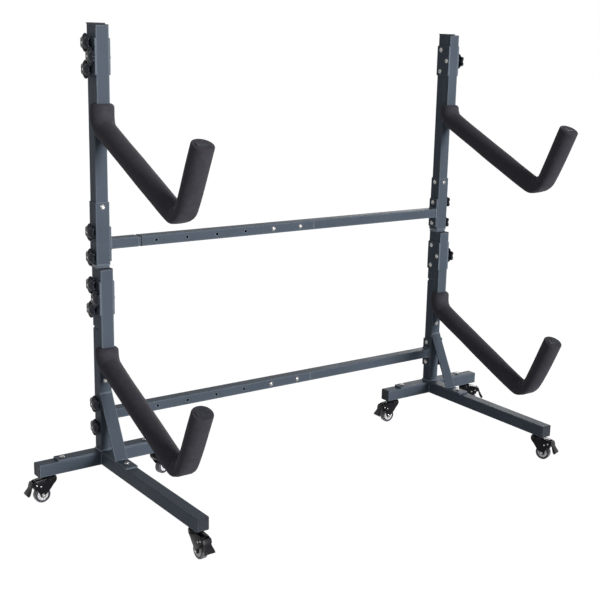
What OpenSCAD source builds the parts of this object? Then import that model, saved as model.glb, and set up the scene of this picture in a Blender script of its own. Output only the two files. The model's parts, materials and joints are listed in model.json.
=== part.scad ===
// Freestanding kayak rack: two levels of J-shaped cradles on two uprights,
// telescoping beams between them, T-shaped feet on six braked casters.
// Millimetres. Floor at Z = 0, beams along X, cradles reach to -Y.

/* [Uprights] */
// Outside width of the square tube in posts, crossbars and legs
tube = 40; // [36:1:44]
// Wall thickness of all steel tubes
wall = 2; // [1.5:0.25:2.5]
// Distance between the two post axes, beams closed
post_spacing = 1356; // [1250:2:1500]
// Height of the post's steel top above the floor
post_top = 1420; // [1400:5:1500]
// Height of the base post's upper end
base_post_top = 519; // [512:1:540]
// Gap between base post and middle post that shows the spigot
neck_gap = 8; // [4:1:12]
// Depth of the middle post's spigot inside the base post
spigot_depth = 190; // [175:5:200]
// Height of the front bolt that holds the spigot
spigot_bolt_z = 358; // [350:1:370]
// Outside width of the coupler sleeve
sleeve_w = 45; // [45:1:48]
// Height of the sleeve's lower end
sleeve_bottom = 720; // [712:1:722]
// Length of the sleeve
sleeve_len = 188; // [170:2:220]
// Distance of the sleeve's front bolt below its upper end
sleeve_bolt_drop = 15; // [13:1:20]

/* [Foot] */
// Length of the crossbar tube without its caps
crossbar_len = 438; // [420:2:480]
// Length of the leg tube without its cap
leg_len = 585; // [500:5:650]
// Thickness of the T-shaped base plate
plate_t = 5; // [4:0.5:8]
// Length of the base plate along the crossbar
plate_len = 320; // [300:5:360]
// Length of the plate's tongue along the leg
tongue_len = 169; // [150:1:180]
// Distance from the post axis to each crossbar screw
plate_screw_x = 140; // [125:1:145]
// Distance from the post axis to the leg screw
plate_screw_y = 155; // [145:1:165]
// Height of the brace's upper end on the post
brace_top = 319; // [300:1:330]
// How far the brace's foot stands out from the post axis
brace_foot = 120; // [105:1:135]
// Thickness of the brace, a flat bar
brace_t = 5; // [4:0.5:8]

/* [Beams] */
// Height of the upper beam's centre line
upper_beam_z = 780; // [778:1:786]
// Height of the lower beam's centre line
lower_beam_z = 243; // [225:1:250]
// Height of a beam tube
beam_h = 32; // [28:1:36]
// Depth of a beam tube, front to back
beam_d = 38; // [34:1:40]
// Distance from the left post axis to the end of the left section
stub_reach = 119.5; // [110:0.5:140]
// Gap that shows the middle tube's spigot
beam_neck = 7; // [4:0.5:10]
// Depth of the middle tube's spigot in the left section
stub_spigot = 60; // [40:5:75]
// Length of the middle tube
middle_len = 647; // [640:1:680]
// Number of holes along the middle tube
hole_count = 6; // [5:1:6]
// Pitch of these holes
hole_pitch = 108; // [100:1:110]
// Distance from the middle tube's left end to its first hole
hole_start = 51.5; // [40:0.5:60]
// Travel of the telescoping beams
travel = 216; // [108:12:216]
// Radius of the bolt holes
hole_r = 4.3; // [4.2:0.05:4.5]
// Thickness of the flange plates
flange_t = 5; // [4:0.5:7]
// Height of the flange plates
flange_h = 105; // [100:1:110]
// Distance of the flange bolts from the beam's centre line
flange_bolt = 38; // [36:1:42]

/* [Cradle arms] */
// Height of the upper clamp's centre
upper_clamp_z = 1330; // [1320:1:1335]
// Height of the lower clamp's centre
lower_clamp_z = 620; // [600:1:640]
// Width of the arm tube, across the rack
arm_w = 40; // [36:1:44]
// Thickness of the arm tube, front to back
arm_t = 20; // [18:1:24]
// Gap between post and arm tube
arm_gap = 2; // [1:0.5:4]
// Height of the arm tube's end above the clamp's centre
arm_up = 87; // [75:1:89]
// Drop from the clamp's centre to the upper corner of the arm
arm_drop = 199; // [195:1:230]
// Slope of the arm below the horizontal, in degrees
arm_slope = 24.4; // [15:0.1:30]
// Distance from the upper corner to the lower corner, measured level
arm_reach = 476; // [400:2:520]
// Slope of the lip above the horizontal, in degrees
lip_slope = 65.5; // [55:0.5:75]
// Length of the lip from the lower corner to the tube's end
lip_len = 240; // [180:2:280]
// Centre line radius of the arm's bends
bend_r = 44; // [42:1:50]
// Outside diameter of the foam grip
grip_d = 63.5; // [58:0.5:66]
// Distance from the clamp's centre down to the grip's upper end
grip_start = 148; // [140:1:160]
// Bare length of tube at the lip's end
grip_end_gap = 3; // [2:0.5:8]
// Thickness of the clamp's side plates
clamp_t = 4; // [3:0.5:6]
// Height of the clamp's side plates
clamp_h = 105; // [100:1:110]
// Distance of the post bolts from the clamp's centre
clamp_bolt = 37.5; // [36:0.5:42]

/* [Casters] */
// Height of the tube's underside above the floor
caster_h = 85; // [83:1:95]
// Wheel diameter
wheel_d = 50; // [46:1:51]
// Width of the wheel
wheel_w = 19; // [16:1:21]
// Thickness of the clear tread
tread_t = 4; // [3:0.5:5]
// Distance between swivel axis and axle
trail = 24; // [20:1:26]
// Distance of the swivel axis from the tube's capped end
caster_inset = 38; // [30:1:50]
// Diameter of the swivel race
race_d = 40; // [36:1:40]
// Swivel angle of the outer left caster
turn_left_outer = 180; // [0:1:360]
// Swivel angle of the inner left caster
turn_left_inner = 20; // [0:1:360]
// Swivel angle of the left leg's caster
turn_left_front = 272; // [0:1:360]
// Swivel angle of the inner right caster
turn_right_inner = 178; // [0:1:360]
// Swivel angle of the outer right caster
turn_right_outer = 319; // [0:1:360]
// Swivel angle of the right leg's caster
turn_right_front = 290; // [0:1:360]

/* [Knobs and caps] */
// Outside diameter of the hand knobs
knob_d = 54; // [48:1:55]
// Length of a knob along its bolt
knob_len = 20; // [18:1:26]
// Thickness of the end caps' flanges
cap_t = 3; // [2:0.5:4]
// Thickness of the post's top cap
post_cap_t = 4; // [3:0.5:6]

/* [Hidden] */
$fn = 48;
fit = 0.3;                       // clearance between telescoping tubes
run = 0.05;                      // running clearance on pins and axles
bolt_r = 4;                      // M8 bolts throughout
knob_lobes = 6;                  // the count at which neighbours interleave
corner_r = 3;                    // outside corner radius of the tubes
side_x = post_spacing / 2;
foot_top = caster_h + tube;
plate_top = foot_top + plate_t;
mid_bottom = base_post_top + neck_gap;
sleeve_top = sleeve_bottom + sleeve_len;
sleeve_bolt_z = sleeve_top - sleeve_bolt_drop;
bore = tube - 2 * wall;          // inside of a square tube
arm_y = -(tube / 2 + arm_gap + arm_t / 2);
arm_front = arm_y - arm_t / 2;
leg_front = -(tube / 2 + leg_len);
// beams: both middle tubes start and end at the same X
middle_x0 = -side_x + stub_reach + beam_neck;
middle_x1 = middle_x0 + middle_len;
last_hole = middle_x1 - (middle_x0 + hole_start + (hole_count - 1) * hole_pitch);
slot_near = last_hole - bolt_r - 1.3;
slot_far = last_hole + hole_pitch + travel + bolt_r + 1.3;
beam_spigot = slot_far + 25;
// casters, measured from the swivel axis
wheel_r = wheel_d / 2;
race_top = caster_h - 3 - fit;
race_bottom = caster_h - 15;
cheek_in = wheel_w / 2 + 1.2;
cheek_t = 2.2;
cheek_out = cheek_in + cheek_t;
pivot_a = trail + 19.7;
pivot_z = wheel_r + 34.9;
pedal_w = 34;
pedal_tip = trail + 52;
caster_cross = crossbar_len / 2 + cap_t - caster_inset;
caster_leg = leg_len + tube / 2 + cap_t - caster_inset;
// arm path: headings in the YZ plane, in degrees from +Y
head_down = -90;
head_out = -180 + arm_slope;
head_lip = -180 - lip_slope;
turn_top = head_down - head_out;
turn_low = head_out - head_lip;
low_y = arm_y - arm_reach;
low_drop = arm_drop + arm_reach * tan(arm_slope);
bend_steps = 8;                  // stations round each bend
grip_sides = 16;                 // flats round the foam
grip_slack = 0.6;                // bore larger than the arm tube
// knob seats: distance from the post axis, Y, Z
clamp_seat = tube / 2 + clamp_t;
KNOBS = [
  [clamp_seat, 0, upper_clamp_z + clamp_bolt],
  [clamp_seat, 0, upper_clamp_z - clamp_bolt],
  [clamp_seat, arm_y, upper_clamp_z],
  [clamp_seat, 0, lower_clamp_z + clamp_bolt],
  [clamp_seat, 0, lower_clamp_z - clamp_bolt],
  [clamp_seat, arm_y, lower_clamp_z],
  [sleeve_w / 2, 0, upper_beam_z + flange_bolt],
  [sleeve_w / 2, 0, upper_beam_z - flange_bolt],
  [tube / 2, 0, lower_beam_z + flange_bolt],
  [tube / 2, 0, lower_beam_z - flange_bolt]
];
// where each of those bolts has its head, on the inner side
HEADS = [
  for (i = [0 : len(KNOBS) - 1])
    i < 6 ? -KNOBS[i][0] : -(KNOBS[i][0] + flange_t)
];
// origin: middle of the part's box, on the floor
function reach(a, b, t) = a * abs(cos(t)) + b * abs(sin(t));
box_x0 = -side_x - caster_cross - reach(pedal_tip, pedal_w / 2, turn_left_outer);
box_x1 = side_x + caster_cross + reach(pedal_tip, pedal_w / 2, turn_right_outer);
lip_front = low_y - lip_len * cos(lip_slope);
box_y0 = min(
  lip_front - grip_d / 2 * sin(lip_slope) + grip_end_gap * cos(lip_slope),
  -caster_leg - reach(pedal_w / 2, pedal_tip, turn_left_front),
  -caster_leg - reach(pedal_w / 2, pedal_tip, turn_right_front)
);
nut_h = 6.5;
box_y1 = max(
  sleeve_w / 2 + nut_h + 3,
  pedal_tip * sin(turn_left_inner) + pedal_w / 2 * cos(turn_left_inner)
);
origin_x = (box_x0 + box_x1) / 2;
origin_y = (box_y0 + box_y1) / 2;

// ---- shapes shared by several pieces ----

module rounded(w, h, r) {
  square([w - 2 * r, h], center = true);
  square([w, h - 2 * r], center = true);
  for (x = [-1, 1])
    for (y = [-1, 1])
      translate([x * (w / 2 - r), y * (h / 2 - r)])
        circle(r);
}

module ring(w, h, t) {
  difference() {
    rounded(w, h, corner_r);
    rounded(w - 2 * t, h - 2 * t, max(corner_r - t, 0.6));
  }
}

module along_x(x0, x1, z) {
  translate([x0, 0, z])
    rotate([90, 0, 90])
      linear_extrude(x1 - x0)
        children();
}

module along_z(z0, z1) {
  translate([0, 0, z0])
    linear_extrude(z1 - z0)
      children();
}

module drill_x(y, z, r = hole_r) {
  translate([0, y, z])
    rotate([0, 90, 0])
      cylinder(h = 120, r = r, center = true);
}

module drill_y(x, z, r = hole_r) {
  translate([x, 0, z])
    rotate([90, 0, 0])
      cylinder(h = 120, r = r, center = true);
}

module drill_z(x, y, r = hole_r) {
  translate([x, y, foot_top])
    cylinder(h = 60, r = r, center = true);
}

// a bolt along +Z from its head's seat at Z = 0
module bolt(length) {
  translate([0, 0, -2])
    cylinder(h = 2, r = 9);
  translate([0, 0, -5])
    cylinder(h = 3, r1 = 5.5, r2 = 8);
  cylinder(h = length, r = bolt_r);
}

module nut() {
  difference() {
    union() {
      cylinder(h = 1.5, r = 9);
      translate([0, 0, 1.5])
        cylinder(h = nut_h - 1.5, r = 7.5, $fn = 6);
    }
    translate([0, 0, -1])
      cylinder(h = nut_h + 2, r = bolt_r + 0.1);
  }
}

// ---- uprights, in the post's own frame: +X points away from the beams ----

module rivet_nut(x, y) {
  translate([x, y, foot_top - wall - 14])
    cylinder(h = 14 + wall - 0.5, r = 5.6);
}

module stem_boss(x, y) {
  translate([x, y, caster_h + 0.5])
    cylinder(h = 14, r = 9);
}

module foot_holes() {
  for (x = [-plate_screw_x, plate_screw_x])
    drill_z(x, 0, bolt_r + 0.1);
  drill_z(0, -plate_screw_y, bolt_r + 0.1);
  for (x = [-caster_cross, caster_cross])
    translate([x, 0, caster_h - 1])
      cylinder(h = 20, r = 5.1);
  translate([0, -caster_leg, caster_h - 1])
    cylinder(h = 20, r = 5.1);
}

module crossbar() {
  color("slategray")
  difference() {
    union() {
      along_x(-crossbar_len / 2, crossbar_len / 2, caster_h + tube / 2)
        ring(tube, tube, wall);
      for (x = [-plate_screw_x, plate_screw_x])
        rivet_nut(x, 0);
      for (x = [-caster_cross, caster_cross])
        stem_boss(x, 0);
    }
    foot_holes();
  }
}

module leg() {
  color("slategray")
  difference() {
    union() {
      translate([0, -tube / 2, caster_h + tube / 2])
        rotate([90, 0, 0])
          linear_extrude(leg_len)
            ring(tube, tube, wall);
      rivet_nut(0, -plate_screw_y);
      stem_boss(0, -caster_leg);
    }
    foot_holes();
  }
}

module base_plate() {
  color("slategray")
  difference() {
    along_z(foot_top, plate_top)
      union() {
        rounded(plate_len, tube, corner_r);
        translate([0, -(tube / 2 + tongue_len) / 2])
          rounded(tube, tube / 2 + tongue_len, corner_r);
      }
    for (x = [-plate_screw_x, plate_screw_x])
      drill_z(x, 0);
    drill_z(0, -plate_screw_y);
  }
}

// a run of weld along X on a corner between a floor and a wall facing -Y
module weld(length) {
  rotate([90, 0, 90])
    translate([0, 0, -length / 2])
      linear_extrude(length)
        polygon([[0, 0], [-3.5, 0], [0, 3.5]]);
}

module base_post() {
  color("slategray")
  difference() {
    union() {
      along_z(plate_top, base_post_top)
        ring(tube, tube, wall);
      for (a = [0, 90, 180, 270])
        rotate([0, 0, a])
          translate([0, -tube / 2, plate_top])
            weld(tube - 2 * corner_r);
    }
    drill_x(0, lower_beam_z + flange_bolt);
    drill_x(0, lower_beam_z - flange_bolt);
    drill_y(0, spigot_bolt_z);
  }
}

brace_run = brace_foot - tube / 2;
brace_rise = brace_top - plate_top;
brace_lean = atan(brace_run / brace_rise);

// a flat bar cut to fit the post and the plate
module brace() {
  level = brace_t / cos(brace_lean);
  color("slategray")
  translate([-tube / 2, 0, 0])
    rotate([90, 0, 90])
      linear_extrude(tube)
        polygon([
          [-brace_foot, plate_top],
          [-brace_foot + level, plate_top],
          [-tube / 2, brace_top - level / tan(brace_lean)],
          [-tube / 2, brace_top]
        ]);
}

module middle_post() {
  color("slategray")
  difference() {
    union() {
      // spigot
      along_z(mid_bottom - neck_gap - spigot_depth, mid_bottom + 3)
        ring(bore - 2 * fit, bore - 2 * fit, wall);
      along_z(mid_bottom, mid_bottom + 3)
        difference() {
          rounded(tube, tube, corner_r);
          square(bore - 2 * fit - 2 * wall, center = true);
        }
      along_z(mid_bottom, upper_beam_z)
        ring(tube, tube, wall);
      // coupler sleeve, welded on
      along_z(sleeve_bottom, sleeve_top)
        difference() {
          rounded(sleeve_w, sleeve_w, corner_r);
          rounded(tube + 2 * fit, tube + 2 * fit, corner_r);
        }
      along_z(sleeve_bottom, upper_beam_z - 2)
        difference() {
          rounded(tube + 2 * fit + 1, tube + 2 * fit + 1, corner_r);
          square(tube - 2, center = true);
        }
    }
    drill_y(0, spigot_bolt_z);
    drill_y(0, sleeve_bolt_z);
    for (s = [-1, 1]) {
      drill_x(0, lower_clamp_z + s * clamp_bolt);
      drill_x(0, upper_beam_z + s * flange_bolt);
    }
  }
}

module top_post() {
  color("slategray")
  difference() {
    along_z(upper_beam_z + fit, post_top)
      ring(tube, tube, wall);
    drill_y(0, sleeve_bolt_z);
    drill_x(0, upper_beam_z + flange_bolt);
    for (s = [-1, 1])
      drill_x(0, upper_clamp_z + s * clamp_bolt);
  }
}

// ---- cradle arms ----

function ahead(h, d) = [d * cos(h), d * sin(h)];

// stations [y, z, heading] round one bend to the right
function bend(corner, h, turn) =
  let (start = corner - ahead(h, bend_r * tan(turn / 2)))
  let (centre = start + ahead(h - 90, bend_r))
  [
    for (i = [0 : bend_steps])
      let (a = h - turn * i / bend_steps)
      let (p = centre + ahead(a + 90, bend_r))
      [p[0], p[1], a]
  ];

// the whole run of the arm, from up above the clamp to short of the tip
function arm_path(zc, up, short) =
  let (low = [low_y, zc - low_drop])
  let (tip = low + ahead(head_lip, lip_len - short))
  concat(
    [[arm_y, zc + up, head_down]],
    bend([arm_y, zc - arm_drop], head_down, turn_top),
    bend(low, head_out, turn_low),
    [[tip[0], tip[1], head_lip]]
  );

function beside(s, d) = [s[0], s[1]] + ahead(s[2] + 90, d);

module band(path, t, w) {
  last = len(path) - 1;
  translate([-w / 2, 0, 0])
    rotate([90, 0, 90])
      linear_extrude(w)
        polygon(concat(
          [for (s = path) beside(s, t / 2)],
          [for (i = [last : -1 : 0]) beside(path[i], -t / 2)]
        ));
}

module arm(zc) {
  color("slategray")
  difference() {
    band(arm_path(zc, arm_up, 0), arm_t, arm_w);
    band(arm_path(zc, arm_up + 1, -1), arm_t - 2 * wall, arm_w - 2 * wall);
    drill_x(arm_y, zc);
  }
}

// point j of the grip's round skin, as [across, beside the arm]
function skin(j) = [
  grip_d / 2 * sin(j * 360 / grip_sides),
  grip_d / 2 * cos(j * 360 / grip_sides)
];

// point j of its flat-sided bore, the corners at a quarter of the way each
function bore_edge(j, w, t) =
  let (q = grip_sides / 4)
  let (k = floor(j / q))
  let (f = (j - k * q) / q)
  let (c = [[-1, 1], [1, 1], [1, -1], [-1, -1], [-1, 1]])
  let (p = c[k] * (1 - f) + c[k + 1] * f)
  [p[0] * w / 2, p[1] * t / 2];

// a point of the section at one station, pressed flat against the post
function placed(s, p) =
  let (q = beside(s, p[1]))
  [p[0], min(q[0], -tube / 2 - fit), q[1]];

module grip(zc) {
  path = arm_path(zc, -grip_start, grip_end_gap);
  n = grip_sides;
  m = len(path);
  turn_bore = n / 8;
  points = [
    for (s = path)
      for (k = [0, 1])
        for (j = [0 : n - 1])
          k == 0
            ? placed(s, skin(j))
            : placed(s, bore_edge((j + turn_bore) % n, arm_w + grip_slack,
              arm_t + grip_slack))
  ];
  function at(i, k, j) = (2 * i + k) * n + (j % n);
  outside = [
    for (i = [0 : m - 2])
      for (j = [0 : n - 1])
        for (h = [0, 1])
          h == 0
            ? [at(i, 0, j), at(i, 0, j + 1), at(i + 1, 0, j + 1)]
            : [at(i, 0, j), at(i + 1, 0, j + 1), at(i + 1, 0, j)]
  ];
  inside = [
    for (i = [0 : m - 2])
      for (j = [0 : n - 1])
        for (h = [0, 1])
          h == 0
            ? [at(i, 1, j), at(i + 1, 1, j + 1), at(i, 1, j + 1)]
            : [at(i, 1, j), at(i + 1, 1, j), at(i + 1, 1, j + 1)]
  ];
  first = [
    for (j = [0 : n - 1])
      for (h = [0, 1])
        h == 0
          ? [at(0, 0, j), at(0, 1, j + 1), at(0, 0, j + 1)]
          : [at(0, 0, j), at(0, 1, j), at(0, 1, j + 1)]
  ];
  final = [
    for (j = [0 : n - 1])
      for (h = [0, 1])
        h == 0
          ? [at(m - 1, 0, j), at(m - 1, 0, j + 1), at(m - 1, 1, j + 1)]
          : [at(m - 1, 0, j), at(m - 1, 1, j + 1), at(m - 1, 1, j)]
  ];
  color("dimgray")
  polyhedron(points, concat(outside, inside, first, final));
}

module clamp_plate(zc) {
  depth = tube / 2 - arm_front;
  difference() {
    translate([tube / 2, tube / 2 - depth / 2, zc])
      rotate([90, 0, 90])
        linear_extrude(clamp_t)
          rounded(depth, clamp_h, 5);
    for (s = [-1, 1])
      drill_x(0, zc + s * clamp_bolt);
    drill_x(arm_y, zc);
  }
}

module clamp_plates() {
  color("slategray")
  for (zc = [upper_clamp_z, lower_clamp_z]) {
    clamp_plate(zc);
    mirror([1, 0, 0])
      clamp_plate(zc);
  }
}

// ---- knobs, fasteners and caps ----

module knob() {
  lobe_r = 7;
  difference() {
    union() {
      cylinder(h = 8, r = 12);
      translate([0, 0, 7])
        cylinder(h = knob_len - 7, r = knob_d / 2 - 8);
      for (i = [0 : knob_lobes - 1])
        rotate([0, 0, (i + 0.5) * 360 / knob_lobes])
          translate([knob_d / 2 - lobe_r, 0, 7])
            cylinder(h = knob_len - 7, r = lobe_r);
    }
    translate([0, 0, -1])
      cylinder(h = knob_len - 5, r = bolt_r + 0.1);
  }
}

module knobs() {
  color("black")
  for (k = KNOBS)
    translate(k)
      rotate([0, 90, 0])
        rotate([0, 0, 90])
          knob();
}

// stem and king pin of one caster
module stem() {
  translate([0, 0, caster_h])
    cylinder(h = 24, r = 5);
  translate([0, 0, race_bottom - fit - 3])
    cylinder(h = caster_h - race_bottom + fit + 3, r = 5);
  translate([0, 0, caster_h - 3])
    cylinder(h = 3, r = 12);
  translate([0, 0, race_bottom - fit - 3])
    cylinder(h = 3, r = 8);
}

module fasteners() {
  color("silver") {
    for (i = [0 : len(KNOBS) - 1])
      translate([HEADS[i], KNOBS[i][1], KNOBS[i][2]])
        rotate([0, 90, 0])
          bolt(KNOBS[i][0] - HEADS[i] + knob_len - 7);
    across(0, sleeve_bolt_z, sleeve_w);
    across(0, spigot_bolt_z, tube);
    for (p = [[-plate_screw_x, 0], [plate_screw_x, 0], [0, -plate_screw_y]])
      translate([p[0], p[1], plate_top])
        rotate([180, 0, 0])
          bolt(plate_t + wall + 12);
    for (p = [[-caster_cross, 0], [caster_cross, 0], [0, -caster_leg]])
      translate([p[0], p[1], 0])
        stem();
  }
}

// a bolt from front to back with its nut
module across(x, z, depth) {
  translate([x, -depth / 2, z])
    rotate([-90, 0, 0])
      bolt(depth + nut_h + 3);
  translate([x, depth / 2, z])
    rotate([-90, 0, 0])
      nut();
}

module beam_bolts() {
  color("silver")
  for (z = [upper_beam_z, lower_beam_z])
    for (i = [0, 1])
      across(middle_x1 - last_hole - i * hole_pitch, z, beam_d);
}

module plug(w, h, t, over) {
  linear_extrude(t)
    rounded(w + over, h + over, corner_r);
  translate([0, 0, -12])
    linear_extrude(13)
      rounded(w - 2 * wall - 0.4, h - 2 * wall - 0.4, 1);
}

module tube_caps() {
  color("black") {
    translate([0, 0, post_top])
      plug(tube, tube, post_cap_t, 2);
    for (a = [0, 180])
      rotate([0, 0, a])
        translate([crossbar_len / 2, 0, caster_h + tube / 2])
          rotate([0, 90, 0])
            plug(tube, tube, cap_t, 0);
    translate([0, leg_front, caster_h + tube / 2])
      rotate([90, 0, 0])
        plug(tube, tube, cap_t, 0);
    for (zc = [upper_clamp_z, lower_clamp_z]) {
      translate([0, arm_y, zc + arm_up])
        plug(arm_w, arm_t, cap_t, 1.6);
      translate([0, lip_front, zc - low_drop + lip_len * sin(lip_slope)])
        rotate([head_lip - 90, 0, 0])
          plug(arm_w, arm_t, cap_t, 1.6);
    }
  }
}

// ---- beams, in the rack's own frame ----

module flange(x, z) {
  along_x(x, x + flange_t, z)
    difference() {
      rounded(tube, flange_h, corner_r);
      square([beam_d - 2 * wall - 8, beam_h - 2 * wall - 8], center = true);
      for (s = [-1, 1])
        translate([0, s * flange_bolt])
          circle(hole_r);
    }
}

module beam_left(z, seat) {
  color("slategray") {
    x0 = -side_x + seat;
    flange(x0, z);
    along_x(x0 + flange_t, -side_x + stub_reach, z)
      ring(beam_d, beam_h, wall);
  }
}

// reduced end that slides into the neighbour, from x0 to its shoulder at x1
module spigot(x0, x1, z, step) {
  w = beam_d - 2 * wall - 2 * fit;
  h = beam_h - 2 * wall - 2 * fit;
  along_x(x0, x1, z)
    ring(w, h, wall);
  along_x(x1, x1 + step, z)
    difference() {
      rounded(beam_d, beam_h, corner_r);
      square([w - 2 * wall, h - 2 * wall], center = true);
    }
}

module beam_middle(z) {
  color("slategray")
  difference() {
    union() {
      along_x(middle_x0 + 3, middle_x1, z)
        ring(beam_d, beam_h, wall);
      spigot(middle_x0 - beam_neck - stub_spigot, middle_x0, z, 3);
    }
    for (i = [0 : hole_count - 1])
      drill_y(middle_x0 + hole_start + i * hole_pitch, z);
  }
}

module beam_right(z, seat) {
  color("slategray") {
    x1 = side_x - seat - flange_t;
    joint = middle_x1 + fit;
    flange(x1, z);
    along_x(joint + 3, x1, z)
      ring(beam_d, beam_h, wall);
    difference() {
      spigot(middle_x1 - beam_spigot, joint, z, 3);
      // slot in which the two beam bolts run
      translate([middle_x1 - slot_far + bolt_r + 0.5, -60, z - bolt_r - 0.5])
        cube([slot_far - slot_near - 2 * bolt_r - 1, 120, 2 * bolt_r + 1]);
      for (d = [slot_far - bolt_r - 0.5, slot_near + bolt_r + 0.5])
        drill_y(middle_x1 - d, z, bolt_r + 0.5);
    }
  }
}

// ---- casters: A runs along the trail, B across the wheel, C up ----

module cheek_shape() {
  polygon([
    [-race_d / 2, race_top - 1], [-race_d / 2 - 2, race_bottom - 1],
    [-race_d / 2 + 3, race_bottom - 9], [trail - 33, race_bottom - 17],
    [trail - 24, wheel_r + 15], [trail - 8.4, wheel_r + 1],
    [trail + 8.4, wheel_r + 1], [trail + 14, wheel_r + 13],
    [trail + 22, wheel_r + 23], [trail + 28, wheel_r + 32],
    [trail + 29, wheel_r + 42], [trail + 27, race_bottom + 2],
    [trail, race_bottom + 5], [race_d / 2, race_top - 1]
  ]);
  translate([trail, wheel_r])
    circle(9);
}

module upright(b0, b1) {
  translate([0, b1, 0])
    rotate([90, 0, 0])
      linear_extrude(b1 - b0)
        children();
}

module fork() {
  color("black") {
    difference() {
      union() {
        // two cheeks
        upright(-cheek_out, -cheek_in)
          cheek_shape();
        upright(cheek_in, cheek_out)
          cheek_shape();
        // sheet over the front and the hood at the rear
        upright(-cheek_in, cheek_in)
          polygon([
            [-race_d / 2, race_top - 1], [-race_d / 2 - 2, race_bottom - 1],
            [-race_d / 2 + 3, race_bottom - 9], [trail - 33, race_bottom - 17],
            [trail - 31, race_bottom - 16], [-race_d / 2 + 5, race_bottom - 8],
            [-race_d / 2 + 1, race_bottom], [-race_d / 2 + 1, race_top - 1]
          ]);
        upright(-cheek_in, cheek_in)
          polygon([
            [0, race_bottom], [0, race_bottom + 4], [trail, race_bottom + 5],
            [trail + 24, race_bottom + 3], [trail + 24, race_bottom + 0.8],
            [trail, race_bottom + 2.5], [race_d / 2, race_bottom]
          ]);
        // swivel race with its lip
        translate([0, 0, race_bottom])
          cylinder(h = race_top - race_bottom, r = race_d / 2 - 0.5);
        translate([0, 0, race_bottom])
          cylinder(h = 2, r = race_d / 2 + 1);
        translate([0, 0, race_top - 4])
          cylinder(h = 2.6, r = race_d / 2 + 0.6);
      }
      translate([0, 0, race_bottom - 1])
        cylinder(h = race_top - race_bottom + 2, r = 5 + run);
    }
    // axle with its nut, and the pin of the pedal
    translate([trail, 0, wheel_r])
      rotate([90, 0, 0]) {
        cylinder(h = 2 * cheek_out + 2, r = bolt_r - 1, center = true);
        translate([0, 0, cheek_out])
          cylinder(h = 4, r = 5.2, $fn = 6);
        translate([0, 0, -cheek_out - 3])
          cylinder(h = 3, r = 5);
      }
    translate([pivot_a, 0, pivot_z])
      rotate([90, 0, 0]) {
        cylinder(h = 2 * cheek_out, r = 2.5, center = true);
        for (s = [-1, 1])
          translate([0, 0, s * (cheek_out + 0.75)])
            cylinder(h = 1.5, r = 3, center = true);
      }
    translate([trail + 6.4, 0, wheel_r + 29])
      rotate([90, 0, 0])
        for (s = [-1, 1])
          translate([0, 0, s * (cheek_out + 0.75)])
            cylinder(h = 1.5, r = 3, center = true);
  }
}

module wheel() {
  color("white")
  translate([trail, 0, wheel_r])
    rotate([90, 0, 0])
      rotate_extrude()
        difference() {
          translate([bolt_r - 1 + run, -wheel_w / 2])
            square([wheel_r - tread_t - bolt_r + 1 - run, wheel_w]);
          // dished faces between hub and rim
          for (s = [-1, 1])
            translate([7, s * wheel_w / 2 - 2])
              square([3.5, 4]);
        }
}

module tread() {
  color("lightgray")
  translate([trail, 0, wheel_r])
    rotate([90, 0, 0])
      rotate_extrude()
        difference() {
          translate([wheel_r - tread_t, -wheel_w / 2])
            square([tread_t, wheel_w]);
          // broken edges
          for (s = [-1, 1])
            translate([wheel_r, s * wheel_w / 2])
              rotate(45)
                square(3, center = true);
        }
}

module pedal() {
  color("black") {
    difference() {
      union() {
        // tread plate with ribs
        upright(-pedal_w / 2, pedal_w / 2)
          polygon([
            [trail + 31, wheel_r + 46], [trail + 36, wheel_r + 37],
            [trail + 42, wheel_r + 23], [pedal_tip, wheel_r + 7],
            [trail + 46, wheel_r + 4.5], [trail + 37, wheel_r + 20],
            [trail + 31, wheel_r + 34]
          ]);
        // hub round the pin
        upright(-cheek_in + 0.5, cheek_in - 0.5) {
          translate([pivot_a, pivot_z])
            circle(5.5);
          polygon([
            [pivot_a, pivot_z - 5.5], [trail + 35, wheel_r + 28],
            [trail + 33, wheel_r + 40], [pivot_a, pivot_z + 5.5]
          ]);
          // brake shoe that meets the tread
          polygon([
            [pivot_a - 3, pivot_z - 4], [pivot_a - 2, pivot_z - 14.5],
            [pivot_a + 4.5, pivot_z - 17], [pivot_a + 7, pivot_z - 4]
          ]);
        }
      }
      translate([pivot_a, 0, pivot_z])
        rotate([90, 0, 0])
          cylinder(h = 60, r = 2.5 + run, center = true);
    }
  }
}

// ---- placing ----

module on_left() {
  translate([-side_x - origin_x, -origin_y, 0])
    mirror([1, 0, 0])
      children();
}

module on_right() {
  translate([side_x - origin_x, -origin_y, 0])
    children();
}

module on_rack() {
  translate([-origin_x, -origin_y, 0])
    children();
}

module at_caster(x, y, turn) {
  on_rack()
    translate([x, y, 0])
      rotate([0, 0, turn])
        children();
}

module left_outer() {
  at_caster(-side_x - caster_cross, 0, turn_left_outer)
    children();
}

module left_inner() {
  at_caster(-side_x + caster_cross, 0, turn_left_inner)
    children();
}

module left_front() {
  at_caster(-side_x, -caster_leg, turn_left_front)
    children();
}

module right_inner() {
  at_caster(side_x - caster_cross, 0, turn_right_inner)
    children();
}

module right_outer() {
  at_caster(side_x + caster_cross, 0, turn_right_outer)
    children();
}

module right_front() {
  at_caster(side_x, -caster_leg, turn_right_front)
    children();
}

on_left() crossbar();  // crossbar_left
on_left() leg();  // leg_left
on_left() base_plate();  // base_plate_left
on_left() base_post();  // base_post_left
on_left() brace();  // brace_left
on_left() middle_post();  // middle_post_left
on_left() top_post();  // top_post_left
on_left() arm(upper_clamp_z);  // upper_arm_left
on_left() arm(lower_clamp_z);  // lower_arm_left
on_left() grip(upper_clamp_z);  // upper_grip_left
on_left() grip(lower_clamp_z);  // lower_grip_left
on_left() clamp_plates();  // clamp_plates_left
on_left() knobs();  // knobs_left
union() {  // fasteners_left
  on_left() fasteners();
  on_rack() beam_bolts();
}
on_left() tube_caps();  // tube_caps_left

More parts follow.
